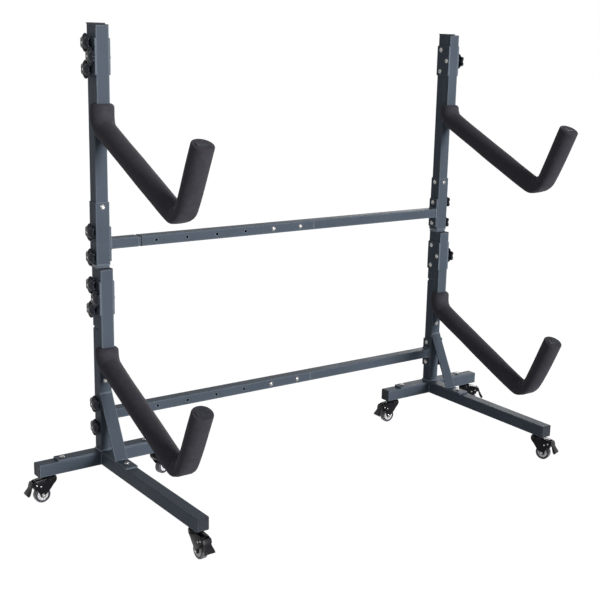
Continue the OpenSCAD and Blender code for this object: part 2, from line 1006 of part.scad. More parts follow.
on_right() crossbar();  // crossbar_right
on_right() leg();  // leg_right
on_right() base_plate();  // base_plate_right
on_right() base_post();  // base_post_right
on_right() brace();  // brace_right
on_right() middle_post();  // middle_post_right
on_right() top_post();  // top_post_right
on_right() arm(upper_clamp_z);  // upper_arm_right
on_right() arm(lower_clamp_z);  // lower_arm_right
on_right() grip(upper_clamp_z);  // upper_grip_right
on_right() grip(lower_clamp_z);  // lower_grip_right
on_right() clamp_plates();  // clamp_plates_right
on_right() knobs();  // knobs_right
on_right() fasteners();  // fasteners_right
on_right() tube_caps();  // tube_caps_right

on_rack() beam_left(upper_beam_z, sleeve_w / 2);  // upper_beam_left
on_rack() beam_middle(upper_beam_z);  // upper_beam_middle
on_rack() beam_right(upper_beam_z, sleeve_w / 2);  // upper_beam_right
on_rack() beam_left(lower_beam_z, tube / 2);  // lower_beam_left
on_rack() beam_middle(lower_beam_z);  // lower_beam_middle
on_rack() beam_right(lower_beam_z, tube / 2);  // lower_beam_right

left_outer() fork();  // fork_left_outer
left_outer() wheel();  // wheel_left_outer
left_outer() tread();  // tread_left_outer
left_outer() pedal();  // pedal_left_outer
left_inner() fork();  // fork_left_inner
left_inner() wheel();  // wheel_left_inner
left_inner() tread();  // tread_left_inner
left_inner() pedal();  // pedal_left_inner
left_front() fork();  // fork_left_front
left_front() wheel();  // wheel_left_front
left_front() tread();  // tread_left_front
left_front() pedal();  // pedal_left_front
right_inner() fork();  // fork_right_inner
right_inner() wheel();  // wheel_right_inner
right_inner() tread();  // tread_right_inner
right_inner() pedal();  // pedal_right_inner
right_outer() fork();  // fork_right_outer
right_outer() wheel();  // wheel_right_outer
right_outer() tread();  // tread_right_outer
right_outer() pedal();  // pedal_right_outer
right_front() fork();  // fork_right_front
right_front() wheel();  // wheel_right_front
right_front() tread();  // tread_right_front
right_front() pedal();  // pedal_right_front
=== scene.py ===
# %% [markdown]
# # A freestanding kayak rack
# Two uprights of square steel tube stand on T-shaped feet with casters. Two
# telescoping beams tie them together, and four J-shaped arms in foam carry two
# kayaks. The CAD model already has every tube in place, so this notebook keeps
# those tubes, gives them their powder coat, and models the parts whose charm is
# in the detail: foam, knobs, bolts, caps, weld beads and casters.

# %% Load the CAD model as a fixed frame
import json
import math

import bpy
import numpy as np
from mathutils import Matrix, Vector


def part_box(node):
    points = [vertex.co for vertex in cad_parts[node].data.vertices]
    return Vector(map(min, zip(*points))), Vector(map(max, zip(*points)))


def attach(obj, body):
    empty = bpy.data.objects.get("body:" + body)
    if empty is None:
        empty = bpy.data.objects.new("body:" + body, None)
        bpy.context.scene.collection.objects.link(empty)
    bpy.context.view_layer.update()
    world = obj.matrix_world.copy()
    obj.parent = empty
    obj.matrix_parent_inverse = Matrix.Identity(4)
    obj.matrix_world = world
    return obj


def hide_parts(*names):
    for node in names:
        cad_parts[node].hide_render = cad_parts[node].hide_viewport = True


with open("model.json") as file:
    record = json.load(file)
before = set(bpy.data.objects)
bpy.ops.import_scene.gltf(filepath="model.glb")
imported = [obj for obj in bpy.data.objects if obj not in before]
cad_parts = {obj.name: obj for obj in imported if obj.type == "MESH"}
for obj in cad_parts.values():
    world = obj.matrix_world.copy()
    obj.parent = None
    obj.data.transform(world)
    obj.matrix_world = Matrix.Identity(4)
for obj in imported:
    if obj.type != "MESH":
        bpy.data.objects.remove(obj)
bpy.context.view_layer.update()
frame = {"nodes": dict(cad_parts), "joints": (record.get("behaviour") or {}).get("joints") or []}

# %% [markdown]
# ## Where things stand
# All lengths below are millimetres in a local frame. A seat is such a frame: it
# knows where it stands in the scene, in metres, and which way its three axes
# point. The left upright is the mirror image of the right one, so its first
# axis points to the left.

# %% Local frames
POINTING = {
    "x": [(0, 1, 0), (0, 0, 1), (1, 0, 0)],
    "-x": [(0, 0, 1), (0, 1, 0), (-1, 0, 0)],
    "y": [(0, 0, 1), (1, 0, 0), (0, 1, 0)],
    "-y": [(1, 0, 0), (0, 0, 1), (0, -1, 0)],
    "z": [(1, 0, 0), (0, 1, 0), (0, 0, 1)],
    "-z": [(0, 1, 0), (1, 0, 0), (0, 0, -1)],
}


class Seat:
    """A local frame in millimetres: its origin in metres and its three axes."""

    def __init__(self, origin, axes=POINTING["z"]):
        self.origin = np.array(origin, float)
        self.axes = np.array(axes, float)

    def __call__(self, grid):
        """Scene point = origin + the local numbers along the three axes."""
        return self.origin + np.asarray(grid, float) * 0.001 @ self.axes

    def at(self, place, pointing="z"):
        """A seat inside this one whose Z axis points the given way."""
        axes = POINTING[pointing] if isinstance(pointing, str) else pointing
        return Seat(self(place), np.array(axes, float) @ self.axes)


def middle(node):
    """The centre of a CAD node's box."""
    low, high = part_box(node)
    return (low + high) / 2


MIRRORED = [(-1, 0, 0), (0, 1, 0), (0, 0, 1)]
post_y = middle("top_post_left").y
UPRIGHTS = {
    "left": Seat((middle("top_post_left").x, post_y, 0), MIRRORED),
    "right": Seat((middle("top_post_right").x, post_y, 0)),
}
rack = Seat((UPRIGHTS["left"].origin + UPRIGHTS["right"].origin) / 2)
print("post axes at", {side: seat.origin.round(4).tolist() for side, seat in UPRIGHTS.items()})

# %% [markdown]
# ## Surfaces from grids of points
# Every new piece is a grid: one direction runs round the shape and the other
# along it. The grid is worked out as one numpy array, and the faces follow
# from the numbering alone. A shape's volume tells whether its faces point
# outwards: if it comes out negative, as it does for a mirrored part, all faces
# are turned round.

# %% Grids to meshes
def quads_of(rows, columns, along):
    """Corner numbers of the quads between neighbouring points of a grid."""
    i, j = np.indices((rows if along else rows - 1, columns))
    up, over = (i + 1) % rows, (j + 1) % columns
    ring = [i * columns + j, i * columns + over, up * columns + over, up * columns + j]
    return np.stack(ring, -1).reshape(-1, 4)


def volume_of(points, faces):
    """Sum over triangles of a . (b x c) / 6, each face cut into a fan."""
    a = points[faces[:, :1]]
    b, c = points[faces[:, 1:-1]], points[faces[:, 2:]]
    return float((a * np.cross(b, c)).sum() / 6)


class Shell:
    """Gathers closed grids of points and makes one mesh of them."""

    def __init__(self):
        self.points, self.faces, self.count = [], [], 0

    def add(self, grid, seat, along=False):
        """Columns run round the shape. Rows join up too if along is set.
        Otherwise the first and last row are closed with a flat lid."""
        rows, columns = grid.shape[:2]
        points = seat(grid).reshape(-1, 3)
        groups = [quads_of(rows, columns, along)]
        if not along:
            lid = np.arange(columns)[None]
            groups += [lid[:, ::-1], lid + (rows - 1) * columns]
        inside_out = sum(volume_of(points - points.mean(0), g) for g in groups) < 0
        for group in groups:
            if inside_out:
                group = group[:, ::-1]
            self.faces += (group + self.count).tolist()
        self.points.append(points)
        self.count += len(points)
        return self

    def build(self, name, body, material, sharp=32):
        """The mesh object: smooth, but sharp where faces meet at an angle."""
        mesh = bpy.data.meshes.new(name)
        mesh.from_pydata(np.concatenate(self.points), [], self.faces)
        mesh.shade_smooth()
        mesh.set_sharp_from_angle(angle=math.radians(sharp))
        mesh.materials.append(material)
        piece = bpy.data.objects.new(name, mesh)
        bpy.context.scene.collection.objects.link(piece)
        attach(piece, body)
        print(f"{name}: {len(self.faces)} faces")
        return piece


# %% [markdown]
# Three kinds of grid cover most hardware. A turned shape is a profile carried
# round an axis, and its rows may bend towards a hexagon or a star. A stack is
# made of rounded rectangles of different sizes, as a moulded cap is. A slab is
# a flat outline whose edges are slightly rounded, as sheet metal has.

# %% Turned shapes
def hexagon(angle):
    """Radius of a hexagon over its corner radius: cos 30 / cos of the angle
    from the middle of the nearest flat."""
    off = angle % (math.pi / 3) - math.pi / 6
    return math.cos(math.pi / 6) / np.cos(off)


LOBES, LOBE_TIP, LOBE_SWING = 6, 27.0, 3.2


def star(angle):
    """Six soft lobes: the radius swings as a cosine, over 27 mm at the tips."""
    swing = LOBE_SWING * np.cos(LOBES * (angle - math.pi / 6))
    return (LOBE_TIP - LOBE_SWING + swing) / LOBE_TIP


def turned(profile, around=36, outline=hexagon):
    """Rows of (radius, height, share): the share bends a row's circle towards
    the outline, 0 for a circle and 1 for the outline itself."""
    rows = np.array([(row + (0,))[:3] for row in profile], float)
    angle = np.linspace(0, 2 * math.pi, around, endpoint=False)
    r, z, share = rows[:, 0, None], rows[:, 1, None], rows[:, 2, None]
    radius = r * (1 - share + share * outline(angle))
    return np.stack([radius * np.cos(angle), radius * np.sin(angle), z + 0 * angle], -1)


# %% Outlines, stacks and slabs
def rounded_rectangle(width, height, radius, steps=6):
    """Four quarter circles of the corner radius, anticlockwise."""
    turn = np.linspace(0, math.pi / 2, steps)
    corner = np.array([(1, 1), (-1, 1), (-1, -1), (1, -1)])
    centre = corner * [width / 2 - radius, height / 2 - radius]
    angle = turn[None] + np.arange(4)[:, None] * math.pi / 2
    arc = radius * np.stack([np.cos(angle), np.sin(angle)], -1)
    return (centre[:, None] + arc).reshape(-1, 2)


def stack(rows):
    """Rounded rectangles, each given as (width, height, corner radius, z)."""
    return np.array([np.insert(rounded_rectangle(*size), 2, z, axis=1) for *size, z in rows])


def softened(outline, times):
    """Chaikin's corner cutting: each edge keeps its middle half."""
    outline = np.array(outline, float)
    for _ in range(times):
        ahead = np.roll(outline, -1, 0)
        pair = [0.75 * outline + 0.25 * ahead, 0.25 * outline + 0.75 * ahead]
        outline = np.stack(pair, 1).reshape(-1, 2)
    return outline


def inset(outline, depth):
    """Moves each point inwards along the mean of its two edges' normals."""
    edge = np.roll(outline, -1, 0) - outline
    edge /= np.maximum(np.linalg.norm(edge, axis=1, keepdims=True), 1e-9)
    tangent = edge + np.roll(edge, 1, 0)
    tangent /= np.maximum(np.linalg.norm(tangent, axis=1, keepdims=True), 1e-9)
    x, y = outline.T
    area = (x * np.roll(y, -1) - np.roll(x, -1) * y).sum()
    normal = np.stack([-tangent[:, 1], tangent[:, 0]], -1) * np.sign(area)
    return outline + normal * depth


def slab(outline, low, high, edge):
    """A plate from low to high: near its faces each row is inset a little."""
    outline = np.array(outline, float)
    near = ((edge, 0), (edge * 0.3, edge * 0.3), (0, edge))
    levels = [(d, low + z) for d, z in near] + [(d, high - z) for d, z in near[::-1]]
    return np.array([np.insert(inset(outline, d), 2, z, axis=1) for d, z in levels])


# %% [markdown]
# ## Shader maths as Python
# A material is a small program. Wire holds one output of a node. It can be added
# to, multiplied by or taken from a number, so that a line of Python adds the Math
# nodes. Every other node comes from make, which sets it up and joins its sockets.

# %% A socket that can be used in sums
class Wire:
    """One output of a node, usable in Python arithmetic."""

    def __init__(self, tree, output):
        self.tree, self.output = tree, output

    def make(self, kind, sockets=(), out=0, **settings):
        """Adds a node: its settings first, then the values or links."""
        node = self.tree.nodes.new("ShaderNode" + kind)
        for name, value in settings.items():
            setattr(node, name, value)
        for name, value in dict(sockets).items():
            if isinstance(value, Wire):
                self.tree.links.new(value.output, node.inputs[name])
            else:
                node.inputs[name].default_value = value
        return Wire(self.tree, node.outputs[out])

    def maths(self, operation, first, second):
        """A Math node on two numbers, each a wire or a plain value."""
        return self.make("Math", {0: first, 1: second}, operation=operation)

    def __add__(self, other):
        return self.maths("ADD", self, other)

    def __mul__(self, other):
        return self.maths("MULTIPLY", self, other)

    def __rsub__(self, other):
        return self.maths("SUBTRACT", other, self)

    def noise(self, scale, detail):
        """Cloudy numbers between 0 and 1 over the place this wire carries."""
        sockets = {"Vector": self, "Scale": scale, "Detail": detail}
        return self.make("TexNoise", sockets)

    def between(self, low, high):
        """Noise mostly lies between 0.3 and 0.7: that is stretched or squeezed
        to fill the new range."""
        sockets = {"From Min": 0.3, "From Max": 0.7, "To Min": low, "To Max": high}
        return self.make("MapRange", {"Value": self, **sockets})

    def tint(self, first, second):
        """A colour between two colours or colour wires, by this number."""
        ends = [end if isinstance(end, Wire) else (*end, 1) for end in (first, second)]
        return self.make("Mix", {0: self, 6: ends[0], 7: ends[1]}, out=2, data_type="RGBA")

    def edges(self, reach):
        """1 beside the piece's corners and 0 on its flats. One minus the dot
        product of the face's own normal and the normal averaged over reach is
        0.07 or more near a corner, and under 0.01 away from it."""
        rounded = self.make("Bevel", {"Radius": reach})
        own = self.make("NewGeometry", out="True Normal")
        same = self.make("VectorMath", {0: rounded, 1: own}, "Value", operation="DOT_PRODUCT")
        return self.make("MapRange", {"Value": 1 - same, "From Min": 0.01, "From Max": 0.07})

    def bump(self, strength, depth):
        """A surface normal from heights of up to the given depth in metres."""
        sockets = {"Height": self, "Strength": strength, "Distance": depth}
        return self.make("Bump", sockets)


def finish(name, **fixed):
    """A new material: its Principled shader, with the fixed numbers set on
    its own sockets, and a wire with the place on the piece."""
    material = bpy.data.materials.new(name)
    material.use_nodes = True
    shader = material.node_tree.nodes["Principled BSDF"]
    for socket, value in fixed.items():
        shader.inputs[socket.replace("_", " ")].default_value = value
    place = Wire(material.node_tree, shader.outputs[0]).make("TexCoord", out="Object")
    return material, shader, place


def feed(shader, **wires):
    """Links wires to sockets of the shader, named with underscores."""
    for socket, wire in wires.items():
        wire.tree.links.new(wire.output, shader.inputs[socket.replace("_", " ")])


# %% [markdown]
# ## The finishes
# Powder coat is paint that was baked from dust, so it has a faint orange peel:
# waves about a millimetre wide. Over it lie slow clouds of slightly different
# gloss. The steel itself is never seen. On the corners the base colour is
# painted paler, a painted highlight for the light that rounded edges catch, so
# the tubes' edges read as pale lines.

# %% Slate-grey powder coat
HIGHLIGHT_REACH, HIGHLIGHT_SHARE = 0.005, 0.8  # metres beside a corner, and how pale it gets
powder_coat, shader, place = finish("slate_powder_coat", Specular_IOR_Level=0.07)
peel = place.noise(620, 2.0)
cloud = place.noise(7, 3.0)
coat = cloud.between(0, 1).tint((0.077, 0.098, 0.127), (0.095, 0.119, 0.152))
# Beside every corner the base colour turns pale slate: a painted highlight.
feed(
    shader,
    Base_Color=(place.edges(HIGHLIGHT_REACH) * HIGHLIGHT_SHARE).tint(coat, (0.23, 0.27, 0.32)),
    Roughness=cloud.between(0.42, 0.52) + peel * 0.06,
    Normal=(peel + place.noise(2300, 1.0) * 0.3).bump(0.25, 0.00025),
)
print("material:", powder_coat.name)

# %% [markdown]
# Weld beads are coated with the same powder and shine more. Their base colour
# is painted paler than the coat, a painted highlight along the beads. Zinc on
# bolts is bright, with a faint mottle. The foam is closed-cell rubber: matt,
# nearly black, and pricked with tiny cells.

# %% Weld, zinc and foam
weld_coat, shader, place = finish("coated_weld", Metallic=0.2, Specular_IOR_Level=0.25)
ripple = place.noise(900, 2.0)
feed(
    shader,
    # The bead's base colour is paler than the powder coat: a painted highlight.
    Base_Color=ripple.between(0, 1).tint((0.11, 0.135, 0.17), (0.19, 0.225, 0.27)),
    Roughness=ripple.between(0.25, 0.42),
    Normal=ripple.bump(0.3, 0.0003),
)

zinc, shader, place = finish("bright_zinc", Metallic=1.0)
mottle = place.noise(260, 3.0)
feed(
    shader,
    Base_Color=mottle.between(0, 1).tint((0.24, 0.24, 0.25), (0.46, 0.45, 0.43)),
    Roughness=mottle.between(0.16, 0.3),
    Normal=place.noise(1500, 2.0).bump(0.12, 0.0001),
)

foam, shader, place = finish("closed_cell_foam", Sheen_Weight=0.05, Specular_IOR_Level=0.15)
cells = place.make("TexVoronoi", {"Vector": place, "Scale": 850.0}, out="Distance")
skin = place.noise(45, 4.0)
feed(
    shader,
    Base_Color=(skin.between(0, 1) * 0.7 + cells * 0.4).tint(
        (0.045, 0.042, 0.052), (0.072, 0.069, 0.085)
    ),
    Roughness=skin.between(0.78, 0.95),
    Normal=(cells * -1.0 + skin * 0.5).bump(0.5, 0.0004),
)
print("materials:", weld_coat.name, zinc.name, foam.name)

# %% [markdown]
# Plastics differ mostly in gloss. Knobs are nylon with a fine spark-eroded
# grain, caps are smoother, the casters' forks are dipped in gloss black, and
# the pedal is ribbed and slightly duller. The wheel is white plastic with a
# navy band inside a smoky, half-clear tread.

# %% Plastics and rubber
def plastic(name, dark, light, gloss, grain, specular=0.5, glassy=0.0):
    """A moulded plastic: two close shades, a roughness range and a grain."""
    fixed = {"Specular_IOR_Level": specular, "Transmission_Weight": glassy}
    material, shader, place = finish(name, **fixed)
    patch = place.noise(30, 3.0)
    feed(
        shader,
        Base_Color=patch.between(0, 1).tint(dark, light),
        Roughness=patch.between(*gloss),
        Normal=place.noise(2600, 2.0).bump(grain, 0.00012),
    )
    return material


knob_nylon = plastic(
    "knob_nylon", (0.009, 0.011, 0.019), (0.017, 0.020, 0.033), (0.18, 0.28), 0.2, 0.2
)
cap_plastic = plastic(
    "cap_plastic", (0.030, 0.033, 0.044), (0.044, 0.048, 0.062), (0.45, 0.55), 0.15, 0.15
)
fork_black = plastic(
    "fork_gloss_black", (0.006, 0.006, 0.009), (0.010, 0.010, 0.014), (0.14, 0.24), 0.03, 0.1
)
pedal_black = plastic(
    "pedal_black", (0.008, 0.008, 0.012), (0.013, 0.013, 0.019), (0.18, 0.26), 0.05, 0.18
)
band_navy = plastic(
    "wheel_band_navy", (0.014, 0.014, 0.034), (0.024, 0.024, 0.056), (0.18, 0.28), 0.1, 0.3
)
wheel_white = plastic("wheel_white", (0.80, 0.80, 0.80), (0.88, 0.88, 0.88), (0.22, 0.32), 0.08)
clear_tread = plastic(
    "clear_tread", (0.115, 0.115, 0.135), (0.18, 0.18, 0.20), (0.25, 0.38), 0.15, glassy=0.25
)
print("plastics ready")

# %% [markdown]
# ## The steel keeps its CAD shape
# Tubes, plates and beams are right as they are, down to their rounded corners
# and bolt holes. They only take the powder coat.

# %% Coat the steel
STEEL = ("crossbar", "leg", "base_plate", "base_post", "brace", "middle_post",
         "top_post", "upper_arm", "lower_arm", "clamp_plates", "beam")
coated = [node for name, node in frame["nodes"].items() if any(part in name for part in STEEL)]
for node in coated:
    node.data.materials.clear()
    node.data.materials.append(powder_coat)
print("powder-coated CAD nodes:", len(coated))

# %% [markdown]
# ## Foam grips
# Each arm wears a thick foam tube, pulled round two bends. On the outside of a
# bend the foam stretches smooth. On the inside it is squeezed, so it bulges and
# closes on itself in a crease. Padding like this could be a cloth simulation,
# but foam keeps its shape by itself, so the section is worked out directly and
# carried along the arm.

# %% The arm's centre line
ARM_Y, LOW_Y, LIP_END = -32.0, -508.0, 241.0  # in front of the post, and the lip's length
SLOPE, LIP_SLOPE, BEND_R = 24.4, 65.5, 44.0  # degrees, degrees and millimetres
GRIP_TOP, ARM_CORNER, LOW_CORNER = 126.0, 199.0, 414.93  # below the clamp's middle
FINE_STEP = 0.25


def centre_line():
    """Distance along the arm, its place (y, z) and its heading in radians.
    The heading is level between bends and falls evenly in them. The place is
    the running sum of short steps in the heading's direction."""
    bends = (90 - SLOPE, SLOPE + LIP_SLOPE)
    cut = [BEND_R * math.tan(math.radians(turn / 2)) for turn in bends]
    arc = [BEND_R * math.radians(turn) for turn in bends]
    run = math.hypot(LOW_Y - ARM_Y, LOW_CORNER - ARM_CORNER)
    straight = (ARM_CORNER - GRIP_TOP - cut[0], run - cut[0] - cut[1], LIP_END - cut[1])
    knots = np.cumsum([0, straight[0], arc[0], straight[1], arc[1], straight[2]])
    fine = np.append(np.arange(0, knots[-1], FINE_STEP), knots[-1])
    down, along_arm, up_lip = -90, SLOPE - 180, -180 - LIP_SLOPE
    turns = np.radians([down, down, along_arm, along_arm, up_lip, up_lip])
    heading = np.interp(fine, knots, turns)
    half = (heading[1:] + heading[:-1]) / 2
    step = np.diff(fine)[:, None] * np.stack([np.cos(half), np.sin(half)], -1)
    place = np.vstack([[0, 0], np.cumsum(step, 0)]) + [ARM_Y, -GRIP_TOP]
    return fine, place, heading, knots


distance, place_yz, heading, knots = centre_line()
HIGH_BEND, LOW_BEND = (knots[1] + knots[2]) / 2, (knots[3] + knots[4]) / 2
print("foam length", round(float(knots[-1])), "mm, tip at", place_yz[-1].round(1).tolist())

# %% [markdown]
# The section of the foam is round outside, 63.5 mm across, and follows the flat
# steel tube inside. Its columns are spaced so that four of them fall exactly on
# the tube's corners. The squeeze is a hump on the inner side of each bend, with
# a narrow groove in its middle where the foam folds into itself.

# %% The foam's skin and bore
FOAM_R, BORE_W, BORE_T = 31.75, 40.6, 20.6
SHOULDER, LIP_EDGE = 12.0, 4.0  # how far the top and the tip are rounded
PRESSED_OUT, PRESSED_FOR, PRESSED_FADE = 4.0, 75.0, 12.0
SQUEEZES = (  # where, hump, groove and half width of the hump, in mm
    (HIGH_BEND, 3.2, 1.0, 26), (LOW_BEND, 8.6, 3.4, 30),
)
GROOVE_W, STRETCH = 3.2, 0.12  # mm, and the share of the hump lost on the outer side
corner = math.atan2(BORE_W, BORE_T)
side = np.linspace(corner, math.pi - corner, 12, endpoint=False)
face = np.linspace(math.pi - corner, math.pi + corner, 20, endpoint=False)
around_foam = np.concatenate([side, face, side + math.pi, face + math.pi])


def foam_radius(along, phase):
    """Radius of the skin at a distance along the arm. phi is measured from the
    outer side of the bends. Radius = 31.75 + what the post presses out to both
    sides, while the arm runs along it, + hump on the inner side, a bell of the
    distance from the bend's middle, - groove, a narrow bell, - stretch on the
    outer side + slow waves of up to half a millimetre."""
    s, phi = along[:, None], around_foam[None]
    inner = np.maximum(0, -np.cos(phi))
    outer = np.maximum(0, np.cos(phi))
    pressed = 1 / (1 + np.exp((s - PRESSED_FOR) / PRESSED_FADE))
    radius = FOAM_R + PRESSED_OUT * pressed * np.sin(phi) ** 2
    for bend_at, hump, groove, wide in SQUEEZES:
        off = s - bend_at
        radius = radius + inner**1.6 * hump * np.exp(-((off / wide) ** 2))
        radius = radius - inner**1.2 * groove * np.exp(-((off / GROOVE_W) ** 2))
        radius = radius - outer**2 * STRETCH * hump * np.exp(-((off / wide) ** 2))
    waves = np.sin(s / 41 + 2 * phi + phase) + np.sin(s / 67 - 3 * phi + 2.1 * phase)
    return radius + 0.2 * waves + 0.15 * np.sin(s / 23 + phi + 4 * phase)


def at_distance(along):
    """The arm's place, and its side direction, at each distance."""
    y = np.interp(along, distance, place_yz[:, 0])
    z = np.interp(along, distance, place_yz[:, 1])
    turn = np.interp(along, distance, heading) + math.pi / 2
    return np.stack([y, z], -1), np.stack([np.cos(turn), np.sin(turn)], -1)


# %% [markdown]
# The rows of the grid run down the skin, round the cut end, back up the bore
# and round the other end, so one closed grid makes the whole tube. Two things
# press on the foam. Where it meets the post it can't go through it: it lies
# flat on the post's face and bulges a little past the post's edges. And under
# the low bend the skin is pulled so tight that it flattens on the steel. A soft
# minimum makes both changes without a kink.

# %% One foam grip
def soft_min(a, b, blur):
    """Half of (a + b - the root of (a - b) squared + blur squared)."""
    return (a + b - np.sqrt((a - b) ** 2 + blur**2)) / 2


into_bend = math.radians(SLOPE - 180)
bend_centre = place_yz[np.searchsorted(distance, knots[3])] + BEND_R * np.array(
    [math.sin(into_bend), -math.cos(into_bend)]
)
PULLS = (  # degrees towards the lip, mm held, dent, blend
    (0, 60.5, 1.6, 10.0), (27, 63.0, 0.0, 13.0), (40, 72.0, 0.0, 8.0), (-22, 67.5, 0.0, 10.0),
)
DENT_W = 9.0


def tight(yz, weight):
    """The skin's distance from the low bend's centre is held softly under a
    limit, first straight out of the bend, with a shallow dent in the middle,
    then on the lip's side, where the foam turns up in a wide curve, and last
    on the arm's side."""
    for towards_lip, held, dent, blend in PULLS:
        turn = math.radians(SLOPE - 180 - (SLOPE + LIP_SLOPE) / 2 - towards_lip)
        out = np.array([-math.sin(turn), math.cos(turn)])
        off = yz - bend_centre
        d, t = off @ out, off @ np.array([-out[1], out[0]])
        limit = held - dent * np.exp(-((t / DENT_W) ** 2))
        yz = yz + (weight * (soft_min(d, limit, blend) - d))[..., None] * out
    return yz


SKIN_ROWS, BORE_ROWS = 210, 150
NEAR_BEND = 34  # further rows stand a millimetre apart this far round a bend


def grip_rows(start, phase):
    """Distance along the arm and offsets (across, beside) for every row."""
    total = knots[-1]
    head, tail = start + SHOULDER, total - LIP_EDGE
    near = [np.arange(at - NEAR_BEND, at + NEAR_BEND, 1.0) for at in (HIGH_BEND, LOW_BEND)]
    skin_at = np.unique(np.concatenate([np.linspace(head, tail, SKIN_ROWS), *near]))
    skin_at = skin_at[(skin_at >= head) & (skin_at <= tail)]
    curl = np.radians([72, 54, 36, 18, 0])
    uncurl = curl[::-1]
    first, last = head - SHOULDER * np.sin(curl), tail + LIP_EDGE * np.sin(uncurl)
    along = np.concatenate([first, skin_at[1:-1], last])
    less = np.zeros(len(along))
    less[: len(curl)] = SHOULDER * (1 - np.cos(curl))
    less[-len(curl) :] = LIP_EDGE * (1 - np.cos(uncurl))
    radius = foam_radius(np.clip(along, head, tail), phase) - less[:, None]
    wide = np.minimum(
        BORE_W / 2 / np.maximum(abs(np.sin(around_foam)), 1e-6),
        BORE_T / 2 / np.maximum(abs(np.cos(around_foam)), 1e-6),
    )
    inside = np.linspace(total - 3, start + 3, BORE_ROWS)
    bore_at = np.concatenate([[total], inside, [start]])
    bore = np.broadcast_to(wide, (len(bore_at), len(wide)))
    lip_at = [along[-1] + (total - along[-1]) * f for f in (0.9, 1.0)]
    lip = [radius[-1] * (1 - f) + (wide + 1) * f for f in (0.12, 0.95)]
    top = [radius[0] * (1 - f) + (wide + 1) * f for f in (0.95, 0.12)]
    top_at = [start, start + (along[0] - start) * 0.1]
    every = np.vstack([radius, *lip, bore, *top])
    return (np.concatenate([along, lip_at, bore_at, top_at]),
            every * np.sin(around_foam), every * np.cos(around_foam))


SKIN_FROM, SKIN_FADE = 24.0, 4.0  # past the bore's corners, so that it isn't pressed
POST_FACE, POST_EDGE, EDGE_FADE, WRAP = -20.3, 19.0, 5.0, 9.0


def foam_grip(start, clamp_z, phase):
    """Point = arm's place + beside x side direction, flattened under the low
    bend, with the y of each point held off the post."""
    along, across, beside = grip_rows(start, phase)
    place, direction = at_distance(along)
    skin = np.clip((np.hypot(across, beside) - SKIN_FROM) / SKIN_FADE, 0, 1)
    yz = tight(place[:, None] + beside[..., None] * direction[:, None], skin)
    past = np.clip((abs(across) - POST_EDGE) / EDGE_FADE, 0, 1)
    limit = POST_FACE + WRAP * past * past * (3 - 2 * past)
    y = soft_min(yz[..., 0], limit, 0.8) - 0.05
    return np.stack([across, y, yz[..., 1] + clamp_z], -1)


# %% [markdown]
# On the real rack the four foams aren't at the same height, so each one starts
# at its own distance below the clamp.

# %% The four grips
CLAMPS = {"upper": 1330, "lower": 620}  # height of each clamp's middle
START = {"upper_left": 132.5, "upper_right": 155.0, "lower_left": 153.5, "lower_right": 137.5}
for order, (side_name, seat) in enumerate(UPRIGHTS.items()):
    for level, clamp_z in CLAMPS.items():
        start = START[f"{level}_{side_name}"] - GRIP_TOP
        shell = Shell().add(foam_grip(start, clamp_z, order * 2.3 + clamp_z), seat, along=True)
        grip = shell.build(f"{level}_foam_{side_name}", f"{side_name}_frame", foam, sharp=50)
        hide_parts(f"{level}_grip_{side_name}")

# %% [markdown]
# ## Hand knobs
# Ten star knobs on each upright are the nuts of its long bolts. A knob has a
# round hub that bears on the steel, six soft lobes for the fingers, and a domed
# face with the bolt's end in its middle. One turned grid makes it: the rows'
# share of the star grows from none on the hub to full on the body, and falls
# back to none on the face.

# %% Star knobs
KNOB = [
    (8.0, 0.0, 0), (11.4, 0.0, 0), (12.0, 0.7, 0), (12.0, 4.6, 0), (12.8, 5.2, 0.05),
    (23.0, 5.4, 0.9), (25.6, 6.0, 1), (27.0, 7.4, 1), (27.0, 10.2, 1), (26.2, 12.2, 1),
    (24.4, 14.2, 1), (21.6, 16.0, 1), (18.0, 17.5, 0.9), (14.2, 18.6, 0.6), (11.2, 19.2, 0.2),
    (9.0, 19.4, 0), (7.6, 19.2, 0), (6.8, 18.6, 0), (4.3, 18.6, 0), (4.2, 18.3, 0),
]
CLAMP_BOLTS = ((0.0, 37.5), (0.0, -37.5), (ARM_Y, 0.0))  # y, and height off the middle
CLAMP_FACE, SLEEVE_FACE, TUBE_FACE = 24.0, 22.5, 20.0
SEATS = [(CLAMP_FACE, y, z + off) for z in CLAMPS.values() for y, off in CLAMP_BOLTS]
BEAM_SEATS = [
    (SLEEVE_FACE, 0.0, 818.0), (SLEEVE_FACE, 0.0, 742.0),
    (TUBE_FACE, 0.0, 281.0), (TUBE_FACE, 0.0, 205.0),
]
star_knob = turned(KNOB, around=96, outline=star)
for side_name, seat in UPRIGHTS.items():
    shell = Shell()
    for spot in SEATS + BEAM_SEATS:
        shell.add(star_knob, seat.at(spot, "x"))
    knobs = shell.build(f"star_knobs_{side_name}", f"{side_name}_frame", knob_nylon, sharp=40)
    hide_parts(f"knobs_{side_name}")

# %% [markdown]
# ## Bolts and nuts
# Every bolt has a wide washer and a domed button head with a hexagon socket.
# The long ones end inside the knobs. Others carry a flanged lock nut, whose
# nylon ring holds the last turn, and show a few turns of thread. A thread is a
# turned profile with a sawtooth edge, which at this size looks like a helix.

# %% Bolt parts
WASHER = [(4.1, 0.0), (7.6, 0.0), (8.0, 0.3), (8.0, 1.3), (7.7, 1.6), (4.1, 1.6)]
BUTTON = [
    (4.0, 1.6), (6.7, 1.6), (7.0, 2.0), (6.8, 2.8), (6.2, 3.6), (5.3, 4.2), (4.2, 4.55),
    (3.2, 4.6), (2.75, 4.5, 1), (2.65, 4.0, 1), (2.6, 2.6, 1), (0.3, 2.2, 1),
]
NUT = [
    (4.1, 0.0), (7.7, 0.0), (8.1, 0.4), (8.1, 1.0), (7.6, 1.4), (6.9, 1.9, 0.6), (7.1, 2.4, 1),
    (7.1, 4.4, 1), (6.8, 4.9, 0.7), (6.1, 5.4, 0.1), (5.8, 6.1, 0), (5.2, 6.5, 0), (4.1, 6.5, 0),
]


